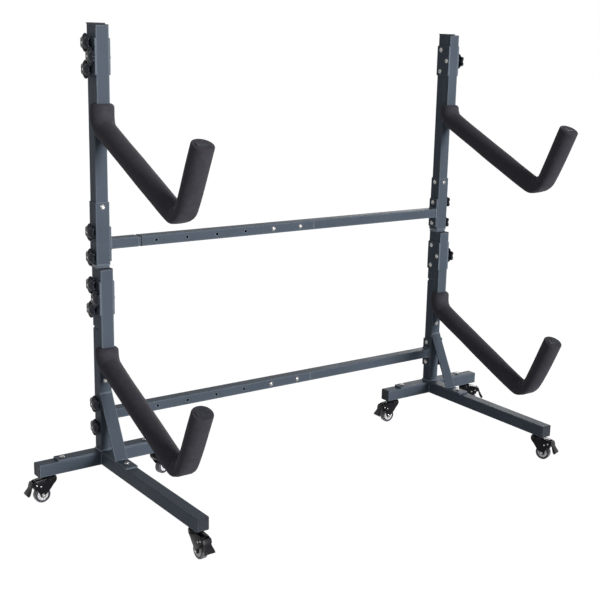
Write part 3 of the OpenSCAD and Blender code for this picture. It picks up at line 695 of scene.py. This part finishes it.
def shank(start, end):
    """A plain bolt with chamfered ends, 8 mm thick."""
    profile = [(3.4, start), (4.0, start + 0.6), (4.0, end - 0.6), (3.4, end)]
    return turned(profile, around=24)


def thread(start, end, pitch=1.25):
    """Radius swings between 4.0 and 3.4 mm once a pitch."""
    z = np.arange(start, end, pitch / 4)
    swing = np.tile([3.45, 3.75, 4.0, 3.75], len(z) // 4 + 1)[: len(z)]
    rows = [(3.0, start)] + list(zip(swing, z)) + [(3.3, end - 0.1), (2.9, end)]
    return turned(rows, around=24)


def add_bolt(shell, seat, length, nut_at=None):
    """A bolt along the seat's Z axis, its head below the seat, and its nut."""
    under = seat.at((0, 0, 0), "-z")
    shell.add(turned(WASHER), under)
    shell.add(turned(BUTTON), under)
    plain = length if nut_at is None else nut_at
    shell.add(shank(-1.9, plain), seat)
    if nut_at is not None:
        shell.add(thread(nut_at, length), seat)
        shell.add(turned(NUT), seat.at((0, 0, nut_at)))


print("button head:", turned(BUTTON).shape, "grid points")

# %% [markdown]
# Each caster hangs on a stem with a wide flange under the tube, and its fork
# turns on a riveted pin below. Those belong to the foot, so they stay still
# when the caster swivels.

# %% All bolts of both uprights
STEM = [
    (4.4, 66.7), (7.2, 66.7), (8.0, 67.3), (7.8, 68.6), (6.4, 69.6), (5.0, 69.7),
    (5.0, 82.0), (11.6, 82.0), (12.0, 82.4), (12.0, 84.6), (11.6, 85.0), (5.0, 85.0),
    (5.0, 108.6), (4.6, 109.0),
]
FOOT_SCREWS = [(-140, 0), (140, 0), (0, -155)]
STEMS = [(-184, 0), (184, 0), (0, -570)]
POST_BOLTS = ((45, 893), (40, 358))  # depth of steel between head and nut, and height
SLEEVE_BOLT_Z, PLATE_TOP, SHORT_BOLT, FOOT_SCREW = 893, 130, 14, 19
BEAM_PLATE, BEAM_DEPTH, BEAM_HEIGHT = 5, 38, 32
BEAM_BOLTS_X, BEAM_Z = (-68, 40), (780, 243)
PAST_KNOB_SEAT, PAST_NUT_SEAT = 20.3, 9.5  # how far a bolt's end stands past them
for side_name, seat in UPRIGHTS.items():
    shell = Shell()
    for x, y, z in SEATS:
        add_bolt(shell, seat.at((-x, y, z), "x"), x + x + PAST_KNOB_SEAT)
    for x, y, z in BEAM_SEATS:
        under = x + BEAM_PLATE
        add_bolt(shell, seat.at((-under, y, z), "x"), under + x + PAST_KNOB_SEAT)
    for depth, z in POST_BOLTS:
        place = seat.at((0, -depth / 2, z), "y")
        add_bolt(shell, place, depth + PAST_NUT_SEAT, nut_at=depth)
    add_bolt(shell, seat.at((-SLEEVE_FACE, 0, SLEEVE_BOLT_Z), "x"), SHORT_BOLT)
    for x, y in FOOT_SCREWS:
        add_bolt(shell, seat.at((x, y, PLATE_TOP), "-z"), FOOT_SCREW)
    for x, y in STEMS:
        shell.add(turned(STEM), seat.at((x, y, 0)))
    if side_name == "left":
        for x in BEAM_BOLTS_X:
            for z in BEAM_Z:
                place = rack.at((x, -BEAM_DEPTH / 2, z), "y")
                add_bolt(shell, place, BEAM_DEPTH + PAST_NUT_SEAT, nut_at=BEAM_DEPTH)
    bolts = shell.build(f"bolts_{side_name}", f"{side_name}_frame", zinc)
    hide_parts(f"fasteners_{side_name}")

# %% [markdown]
# ## End caps
# Plastic caps close every open tube end. A cap is a rounded rectangle that
# steps out from its plug to the tube's edge, rounds over and ends in a shallow
# dish. Each row of the grid is a rounded rectangle of its own size.

# %% Caps on the tube ends
def end_cap(width, height, thick):
    """Rows of (inset, height above the tube's end), plug first."""
    levels = [
        (3.4, -10.0), (3.0, -9.4), (3.0, -0.05), (0.5, -0.05), (0.1, 0.25), (0.0, 0.7),
        (0.0, thick - 1.2), (0.3, thick - 0.5), (0.9, thick - 0.08), (1.8, thick),
        (4.2, thick), (4.8, thick - 0.35), (5.6, thick - 0.45),
    ]
    return stack((width - 2 * d, height - 2 * d, max(3.2 - d, 0.5), z) for d, z in levels)


rise, run = math.sin(math.radians(LIP_SLOPE)), math.cos(math.radians(LIP_SLOPE))
leaning = [(1, 0, 0), (0, rise, run), (0, -run, rise)]
POST_TOP, FOOT_Z, CROSSBAR_END, LEG_END = 1420, 105, 219, 605
ARM_UP, LIP_LENGTH = 87, 240
post_cap, foot_cap, arm_cap = end_cap(42, 42, 4), end_cap(40, 40, 3), end_cap(41.6, 21.6, 3)
for side_name, seat in UPRIGHTS.items():
    shell = Shell()
    shell.add(post_cap, seat.at((0, 0, POST_TOP)))
    shell.add(foot_cap, seat.at((CROSSBAR_END, 0, FOOT_Z), "x"))
    shell.add(foot_cap, seat.at((-CROSSBAR_END, 0, FOOT_Z), "-x"))
    shell.add(foot_cap, seat.at((0, -LEG_END, FOOT_Z), "-y"))
    for clamp_z in CLAMPS.values():
        shell.add(arm_cap, seat.at((0, ARM_Y, clamp_z + ARM_UP)))
        tip = (0, LOW_Y - LIP_LENGTH * run, clamp_z - LOW_CORNER + LIP_LENGTH * rise)
        shell.add(arm_cap, seat.at(tip, leaning))
    caps = shell.build(f"end_caps_{side_name}", f"{side_name}_frame", cap_plastic)
    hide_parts(f"tube_caps_{side_name}")

# %% [markdown]
# ## Weld beads
# Where tubes were welded, a bead of overlapping scales runs along the joint.
# The bead is a round section carried along the corner, and its radius rises and
# falls with every scale. Half of it is buried in the steel.

# %% Beads along a flat path
BEAD_STEP, SCALE_LONG, BEAD_END = 0.6, 2.6, 2.0


def stepped(corners, closed):
    """Points every 0.6 mm along straight lines between corners."""
    points = np.array(corners, float)
    if closed:
        points = np.vstack([points, points[:1]])
    lengths = np.linalg.norm(np.diff(points, axis=0), axis=1)
    reached = np.concatenate([[0], np.cumsum(lengths)])
    at = np.arange(0, reached[-1] - BEAD_STEP / 2, BEAD_STEP)
    path = np.stack([np.interp(at, reached, points[:, i]) for i in (0, 1)], -1)
    return path, at


def bead(corners, radius, closed=True):
    """Point = path + r(s) (cos a outwards + sin a up), where r(s) is the bead's
    radius times 0.84 + 0.16 of a half-wave that repeats every 2.6 mm. An open
    bead thins out over its last 2 mm."""
    path, at = stepped(corners, closed)
    smooth = path
    for _ in range(4):
        ahead, behind = np.roll(smooth, -1, 0), np.roll(smooth, 1, 0)
        if not closed:
            ahead[-1], behind[0] = smooth[-1], smooth[0]
        smooth = (ahead + 2 * smooth + behind) / 4
    run_dir = np.gradient(smooth, axis=0)
    run_dir /= np.linalg.norm(run_dir, axis=1, keepdims=True)
    out = np.stack([run_dir[:, 1], -run_dir[:, 0]], -1)
    scale = radius * (0.84 + 0.16 * abs(np.sin(at * math.pi / SCALE_LONG)))
    if not closed:
        scale *= np.clip(np.minimum(at, at[-1] - at) / BEAD_END, 0.25, 1)
    angle = np.linspace(0, 2 * math.pi, 12, endpoint=False)
    sideways = scale[:, None] * np.cos(angle)
    up = scale[:, None] * np.sin(angle)
    flat = smooth[:, None] + sideways[..., None] * out[:, None]
    return np.concatenate([flat, up[..., None]], -1)


def box_corners(width, height, cx=0.0, cy=0.0):
    """Four corners of a rectangle round (cx, cy), anticlockwise."""
    signs = ((1, -1), (1, 1), (-1, 1), (-1, -1))
    return [(cx + sx * width / 2, cy + sy * height / 2) for sx, sy in signs]


def fillet(width, low, high):
    """Rows of rounded squares that narrow downwards to a 40 mm tube."""
    rise = np.linspace(0, 1, 7)
    size = 40.4 + (width - 40.4) * rise**1.5
    z = low + (high - low) * rise
    return stack((w, w, 3.0, h) for w, h in zip(size, z))


def weld_round(shell, seat, radius, *box):
    """Adds a bead round a rectangle in the seat's own plane."""
    shell.add(bead(box_corners(*box), radius), seat, along=True)


# %% [markdown]
# Each upright has a bead round the foot of its post, round both ends of its
# brace and round each beam where it meets its flange plate. A skirt of weld
# fills the step under the coupler sleeve. Two upright beads join the leg to the
# crossbar, and their pale coat along those corners is a painted highlight.

# %% All welds of both uprights
BRACE_FOOT, BRACE_HEAD_Z = (5.7, 0, -117.15), 313.6  # depth and middle, and height
SKIRT_W, SKIRT_LOW, SKIRT_HIGH = 44.9, 708.5, 720.2
SKIRT_BEADS = ((44, 719.6), (40.6, 709))  # width and height
FLANGES = ((SLEEVE_FACE + BEAM_PLATE, BEAM_Z[0]), (TUBE_FACE + BEAM_PLATE, BEAM_Z[1]))
FACING_BEAM = [(0, 1, 0), (0, 0, 1), (-1, 0, 0)]
WIDTH = 2 * TUBE_FACE
for side_name, seat in UPRIGHTS.items():
    shell = Shell()
    on_plate = seat.at((0, 0, PLATE_TOP))
    weld_round(shell, on_plate, 3.3, WIDTH, WIDTH)
    weld_round(shell, on_plate, 2.2, WIDTH, *BRACE_FOOT)
    weld_round(shell, seat.at((0, -TUBE_FACE, BRACE_HEAD_Z), "-y"), 1.9, 39, 10.8)
    for x, z in FLANGES:
        weld_round(shell, seat.at((-x, 0, z), FACING_BEAM), 2.4, BEAM_DEPTH, BEAM_HEIGHT)
    shell.add(fillet(SKIRT_W, SKIRT_LOW, SKIRT_HIGH), seat)
    for width, z in SKIRT_BEADS:
        weld_round(shell, seat.at((0, 0, z)), 1.3, width, width)
    # These beads join leg and crossbar and also make a painted highlight: a pale line up each
    # corner.
    for x in (-TUBE_FACE, TUBE_FACE):
        upright = bead([(86, 0), (124, 0)], 1.5, closed=False)
        shell.add(upright, seat.at((x, -TUBE_FACE, 0), "y"))
    welds = shell.build(f"welds_{side_name}", f"{side_name}_frame", weld_coat, sharp=60)

# %% [markdown]
# ## The seams of the beams
# Where a beam's left section meets the shoulder of the middle tube, shade
# falls in the joint as a dark line. A thin ring of dark plastic, slightly proud,
# is put round the joint as painted shade. That joint is bolted up and doesn't
# slide, so the ring stays with it.

# %% Dark rings of painted shade at the seams
SEAM_LONG, SEAM_PROUD, SEAM_DEEP = 3.0, 0.3, 0.9
SHOULDER_X = 0.067  # the reduced end of the middle tube is 67 mm long


def seam_shade_ring(length):
    """Rows round the ring's section: up the outside, 0.3 mm proud, and back
    through the tube's wall."""
    rows = [(0.0, 0), (SEAM_PROUD, SEAM_PROUD), (SEAM_PROUD, length - SEAM_PROUD),
            (0.0, length), (-SEAM_DEEP, length), (-SEAM_DEEP, 0)]
    return stack((BEAM_DEPTH + 2 * p, BEAM_HEIGHT + 2 * p, 3.0 + p, z) for p, z in rows)


for level in ("upper", "lower"):
    low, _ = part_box(f"{level}_beam_middle")
    centre = middle(f"{level}_beam_middle")
    place = np.array([low.x + SHOULDER_X, centre.y, centre.z]) - rack.origin
    shell = Shell()
    # The dark ring is painted shade: it stands for the shadow in the joint's gap.
    shell.add(seam_shade_ring(SEAM_LONG), rack.at(place * 1000, "x"), along=True)
    seam = shell.build(f"{level}_beam_seam_shade", "left_frame", cap_plastic, sharp=40)

# %% [markdown]
# ## Casters
# Six swivel casters carry the rack. The frame's joints say where each one
# stands and which way it trails: the axle lies behind the stem, and the trail
# runs from one to the other. In a caster's own frame the first axis is the
# trail, the second crosses the wheel and the third points up.

# %% One frame per caster
joints = {joint["name"]: joint for joint in frame["joints"]}
CASTERS = {}
for name in sorted(joints):
    if name.endswith("_swivel"):
        key = name[: -len("_swivel")]
        stem = np.array(joints[name]["pos_m"])
        trail = np.array(joints[key + "_roll"]["pos_m"]) - stem
        trail[2] = 0
        trail /= np.linalg.norm(trail)
        across = np.array([-trail[1], trail[0], 0])
        CASTERS[key] = Seat((stem[0], stem[1], 0), [trail, across, (0, 0, 1)])
print("casters:", {key: seat.axes[0].round(2).tolist() for key, seat in CASTERS.items()})

# %% [markdown]
# The fork is pressed from sheet: a turned race on top, two cheeks, a sheet that
# closes the front and a hood over the wheel. Its outline is a polygon whose
# corners are cut until it flows.

# %% Fork outline and race
CHEEK = [
    (-19.5, 80), (-21.6, 69), (-17, 60.5), (-9, 53), (0, 40), (9.2, 31), (15.8, 26),
    (16.8, 21.0), (20.2, 17.6), (24, 16.9), (27.8, 17.6), (31.2, 21.0), (32.2, 26),
    (36.6, 37.5), (45.5, 47.5), (51.6, 56), (53.2, 66), (51.5, 71.8), (38, 74.4),
    (24, 75.2), (16, 76.5), (10, 80),
]
RACE = [
    (5.3, 70.1), (19.8, 70.0), (20.8, 70.3), (21.0, 71.0), (20.6, 71.9), (19.7, 72.4),
    (19.3, 73.2), (19.3, 76.6), (19.9, 77.3), (20.5, 78.0), (20.6, 79.2), (20.1, 80.3),
    (18.9, 81.1), (16.5, 81.6), (5.3, 81.7),
]
FRONT = [
    (-20, 79.5), (-21.8, 69), (-17, 61), (-9, 53), (-7, 54.2), (-15, 62), (-19, 70), (-18.4, 79.5)
]
HOOD = [
    (0, 70.4), (0, 73.6), (24, 74.6), (38, 74.0), (48, 72.4), (47.6, 70.6), (38, 71.6), (24, 72.2)
]
CHEEK_IN, CHEEK_OUT, SHEET_HALF = 10.7, 12.9, 11.2
upright_plane = [(1, 0, 0), (0, 0, 1), (0, 1, 0)]
cheek, front, hood = softened(CHEEK, 3), softened(FRONT, 2), softened(HOOD, 2)
for key, seat in CASTERS.items():
    shell = Shell()
    plane = seat.at((0, 0, 0), upright_plane)
    for low, high in ((CHEEK_IN, CHEEK_OUT), (-CHEEK_OUT, -CHEEK_IN)):
        shell.add(slab(cheek, low, high, 0.7), plane)
    for sheet in (front, hood):
        shell.add(slab(sheet, -SHEET_HALF, SHEET_HALF, 0.3), plane)
    shell.add(turned(RACE, around=64), seat)
    fork = shell.build(f"fork_shell_{key}", f"swivel_{key}", fork_black, sharp=40)
    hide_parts(f"fork_{key}")

# %% [markdown]
# The bright parts of a caster are the axle with its nut and head, and the
# rivets that hold the pedal. They catch the light, so they are a piece of
# their own with the zinc finish.

# %% Axles and rivets
AXLE_HEAD = [
    (3.0, 12.9), (5.4, 12.9), (5.6, 13.2), (5.5, 13.8), (4.6, 14.1), (4.6, 16.2),
    (4.2, 17.2), (3.2, 17.8), (1.8, 18.1), (0.4, 18.2),
]
AXLE_NUT = [
    (3.0, 12.9), (5.1, 12.9, 1), (5.2, 13.4, 1), (5.2, 16.2, 1), (4.9, 16.8, 0.7),
    (4.4, 17.3, 0), (3.1, 17.3), (3.0, 16.9), (2.9, 17.0), (2.8, 18.4), (2.4, 18.7),
    (0.4, 18.8),
]
RIVET = [
    (2.4, 12.9), (2.95, 12.9), (3.0, 13.3), (2.7, 13.9), (2.0, 14.3), (1.0, 14.4), (0.3, 14.4)
]
AXLE_PIN = [(2.6, -13.5), (3.0, -13.2), (3.0, 13.2), (2.6, 13.5)]
PEDAL_PIN = [(2.3, -12.8), (2.5, -12.6), (2.5, 12.6), (2.3, 12.8)]
WHEEL_AT, UPPER_RIVET, PEDAL_AT = (24, 0, 25), (30.4, 0, 54.0), (43.7, 0, 59.9)
for key, seat in CASTERS.items():
    shell = Shell()
    left, right = seat.at(WHEEL_AT, "-y"), seat.at(WHEEL_AT, "y")
    shell.add(turned(AXLE_PIN, 24), right)
    shell.add(turned(AXLE_HEAD, 28), right)
    shell.add(turned(AXLE_NUT, 36), left)
    for spot in (UPPER_RIVET, PEDAL_AT):
        for pointing in ("y", "-y"):
            shell.add(turned(RIVET, 24), seat.at(spot, pointing))
    shell.add(turned(PEDAL_PIN, 20), seat.at(PEDAL_AT, "y"))
    bright = shell.build(f"axle_and_rivets_{key}", f"swivel_{key}", zinc)
    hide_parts(f"fork_{key}")

# %% [markdown]
# A wheel is four rings about one axle: a white centre, a navy band, the smoky
# tread, and dark thread guards at the hub. All are turned profiles. The band and
# the tread are closed rings, so their grids join up in both directions.

# %% Wheels and treads
def both_faces(half):
    """A profile for one face and its mirror image for the other."""
    return [(r, -z) for r, z in half] + [(r, z) for r, z in reversed(half)]


CENTRE = both_faces([
    (3.4, 6.6), (6.4, 6.6), (6.8, 7.0), (7.0, 9.0), (7.6, 9.5), (16.2, 9.5), (16.9, 9.2),
    (17.2, 8.4),
])
BAND = both_faces([(17.2, 8.6), (17.7, 9.2), (18.3, 9.4), (20.2, 9.4), (20.9, 9.1), (21.0, 8.4)])
TREAD = both_faces([
    (21.0, 8.9), (21.6, 9.4), (22.6, 9.5), (23.6, 9.2), (24.5, 8.3), (24.9, 7.0), (25.0, 5.0),
])
GUARD = [
    (3.4, 6.5), (6.2, 6.5), (6.7, 6.9), (6.6, 8.2), (6.2, 9.4), (5.6, 9.9), (5.0, 10.0),
    (3.6, 10.0),
]
RINGS = (  # name, finish, slot, CAD node, profile, columns, closed ring, where to
    ("wheel_centre", wheel_white, "wheel_centre", "wheel", CENTRE, 72, False, ["y"]),
    ("wheel_band", band_navy, "fork_black", "wheel", BAND, 72, True, ["y"]),
    ("tread_ring", clear_tread, "tread", "tread", TREAD, 72, True, ["y"]),
    ("thread_guard", band_navy, "fork_black", "wheel", GUARD, 48, False, ["y", "-y"]),
)
for key, seat in CASTERS.items():
    for part, material, slot, node, profile, columns, closed, sides in RINGS:
        shell = Shell()
        for pointing in sides:
            shell.add(turned(profile, columns), seat.at(WHEEL_AT, pointing), along=closed)
        ring = shell.build(f"{part}_{key}", f"roller_{key}", material, sharp=50)
        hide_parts(f"{node}_{key}")

# %% [markdown]
# The pedal has a glossy hood over its hub, a narrower neck, and a foot that
# flares towards its tip, with three bars moulded across it for grip. It is a
# loft: rounded rectangles stand along a spine, and their width, thickness and
# bars depend on the distance from the hood's edge.

# %% Brake pedals
SPINE = [(54.4, 70.4), (57.2, 62.6), (60.4, 54.6), (63.8, 46.6), (68.2, 38.8), (73.0, 31.2)]
BARS_AT, BAR_HIGH, BAR_WIDE = (29.5, 34.8, 40.0), 1.3, 1.25


def pedal_plate():
    """Point = spine + across + (side of the plate x its depth on that side +
    bars on the outer side) along the spine's normal. A bar is a bell of
    distance along the spine."""
    points = np.array(SPINE)
    lengths = np.r_[0, np.cumsum(np.linalg.norm(np.diff(points, axis=0), axis=1))]
    end = lengths[-1]
    at = np.linspace(0, end, 96)
    spine = np.stack([np.interp(at, lengths, points[:, i]) for i in (0, 1)], -1)
    for _ in range(60):
        spine[1:-1] = (spine[:-2] + 2 * spine[1:-1] + spine[2:]) / 4
    run = np.gradient(spine, axis=0)
    run /= np.linalg.norm(run, axis=1, keepdims=True)
    normal = np.stack([-run[:, 1], run[:, 0]], -1)
    wide = np.interp(
        at, [0, 1, 3, 14, 17.5, 23, 37, end], [11.5, 13.4, 14, 14, 11.6, 12.2, 16.4, 16.8]
    )
    thick = np.interp(
        at, [0, 1, 4, 14, 17.5, 22, 34, 42, end], [1.0, 1.9, 2.6, 2.6, 1.7, 2.1, 3.1, 2.9, 1.8]
    )
    deep = np.interp(at, [0, 1, 4, 14, 20, 34, 42, end], [1.0, 2.0, 3.0, 3.2, 4.6, 6.4, 6.0, 4.4])
    bars = sum(BAR_HIGH * np.exp(-(((at - m) / BAR_WIDE) ** 2)) for m in BARS_AT)
    section = rounded_rectangle(2, 2, 0.42, 5)
    across = section[:, 0] * wide[:, None]
    half = np.where(section[:, 1] > 0, thick[:, None], deep[:, None])
    on_top = (section[:, 1] > 0.9) * (abs(section[:, 0]) < 0.9)
    out = section[:, 1] * half + on_top * bars[:, None]
    flat = spine[:, None] + out[..., None] * normal[:, None]
    return np.stack([flat[..., 0], across, flat[..., 1]], -1)


SHOE = [(40.7, 55.9), (41.4, 47), (43, 44.6), (47, 43.2), (48.8, 44.5), (50.7, 55.9)]
WEB = [(43.7, 54.4), (55.2, 53.5), (57.6, 58), (56.8, 65), (43.7, 65.4)]
HUB = [(3.1, -10.2), (4.9, -10.2), (5.5, -9.6), (5.5, 9.6), (4.9, 10.2), (3.1, 10.2)]
WEB_HALF, SHOE_HALF = 10.2, 8.5
plate = pedal_plate()
for key, seat in CASTERS.items():
    plane = seat.at((0, 0, 0), upright_plane)
    shell = Shell()
    shell.add(plate, seat)
    shell.add(slab(WEB, -WEB_HALF, WEB_HALF, 0.4), plane)
    shell.add(slab(SHOE, -SHOE_HALF, SHOE_HALF, 0.4), plane)
    shell.add(turned(HUB, 36), seat.at(PEDAL_AT, "y"))
    pedal = shell.build(f"brake_pedal_{key}", f"brake_{key}", pedal_black, sharp=40)
    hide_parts(f"pedal_{key}")

# %% [markdown]
# ## Floor, light and camera
# The rack stands in a white room: a pale floor that still takes a soft shadow,
# and a white surround. A broad low light from the front lights the faces that
# look towards the viewer, and the sides that look left stay dark. A weaker one
# from behind on the right keeps the back from going black.

# %% Floor and surround
PAPER = (0.84, 0.84, 0.84, 1)
FLOOR_GLOW, GLOW_SHARE = 1.33, 0.72  # the rest of the floor's look keeps the shadow
AMBIENT = 0.18  # strength of the surround for all rays that aren't shown
bpy.ops.mesh.primitive_plane_add(size=60, location=(0, 0, 0))
floor = bpy.context.object
floor.name = "floor"
paper, shader, place = finish(
    "floor_paper", Base_Color=PAPER, Roughness=1.0, Specular_IOR_Level=0.0
)
look = Wire(place.tree, shader.outputs[0])


def shown_rays(wire):
    """1 for the rays that show the background: camera, mirror and glass."""
    kinds = ("Camera", "Glossy", "Transmission")
    seen, mirror, glass = (wire.make("LightPath", out=f"Is {kind} Ray") for kind in kinds)
    return wire.maths("MAXIMUM", wire.maths("MAXIMUM", seen, mirror), glass)


glow = look.make("Emission", {"Color": (1, 1, 1, 1), "Strength": FLOOR_GLOW})
mixed = look.make("MixShader", {0: shown_rays(look) * GLOW_SHARE, 1: look, 2: glow})
surface = look.tree.nodes["Material Output"].inputs["Surface"]
look.tree.links.new(mixed.output, surface)
floor.data.materials.append(paper)

world = bpy.data.worlds.new("white_surround")
bpy.context.scene.world = world
world.use_nodes = True
tree = world.node_tree
backdrop = tree.nodes["Background"]
air = Wire(tree, backdrop.outputs[0])
strength = shown_rays(air) * (1 - AMBIENT) + AMBIENT
tree.links.new(strength.output, backdrop.inputs["Strength"])
backdrop.inputs["Color"].default_value = (1, 1, 1, 1)
print("floor and surround ready")

# %% Lamps
def lamp(name, towards, strength, spread):
    """A far lamp in the given direction, as wide as the spread in degrees."""
    light = bpy.data.lights.new(name, "SUN")
    light.energy, light.angle = strength, math.radians(spread)
    item = bpy.data.objects.new(name, light)
    item.rotation_euler = Vector(towards).to_track_quat("Z", "Y").to_euler()
    bpy.context.scene.collection.objects.link(item)


lamp("key", (0.25, -0.93, 0.07), 3.1, 18)
lamp("back", (0.8, 0.6, 0.12), 1.2, 30)

# %% [markdown]
# The camera stands where the photograph was taken from. Its place, its three
# angles and its lens were fitted to the straight edges of posts, beams and feet.

# %% Camera
CAMERA_AT, LENS, SENSOR, SHIFT_X = (-2.1106, -2.7729, 1.4214), 67.46, 36.0, -0.0833
YAW, PITCH, ROLL = (math.radians(angle) for angle in (37.86, -13.42, 1.85))
lens = bpy.data.cameras.new("camera")
lens.lens, lens.sensor_width, lens.shift_x = LENS, SENSOR, SHIFT_X
camera = bpy.data.objects.new("camera", lens)
turn = Matrix.Rotation(-YAW, 4, "Z") @ Matrix.Rotation(math.pi / 2 + PITCH, 4, "X")
turn = turn @ Matrix.Rotation(ROLL, 4, "Z")
camera.matrix_world = Matrix.Translation(CAMERA_AT) @ turn
bpy.context.scene.collection.objects.link(camera)
bpy.context.scene.camera = camera
bpy.context.scene.view_settings.view_transform = "Standard"
print("camera at", [round(v, 3) for v in camera.location])
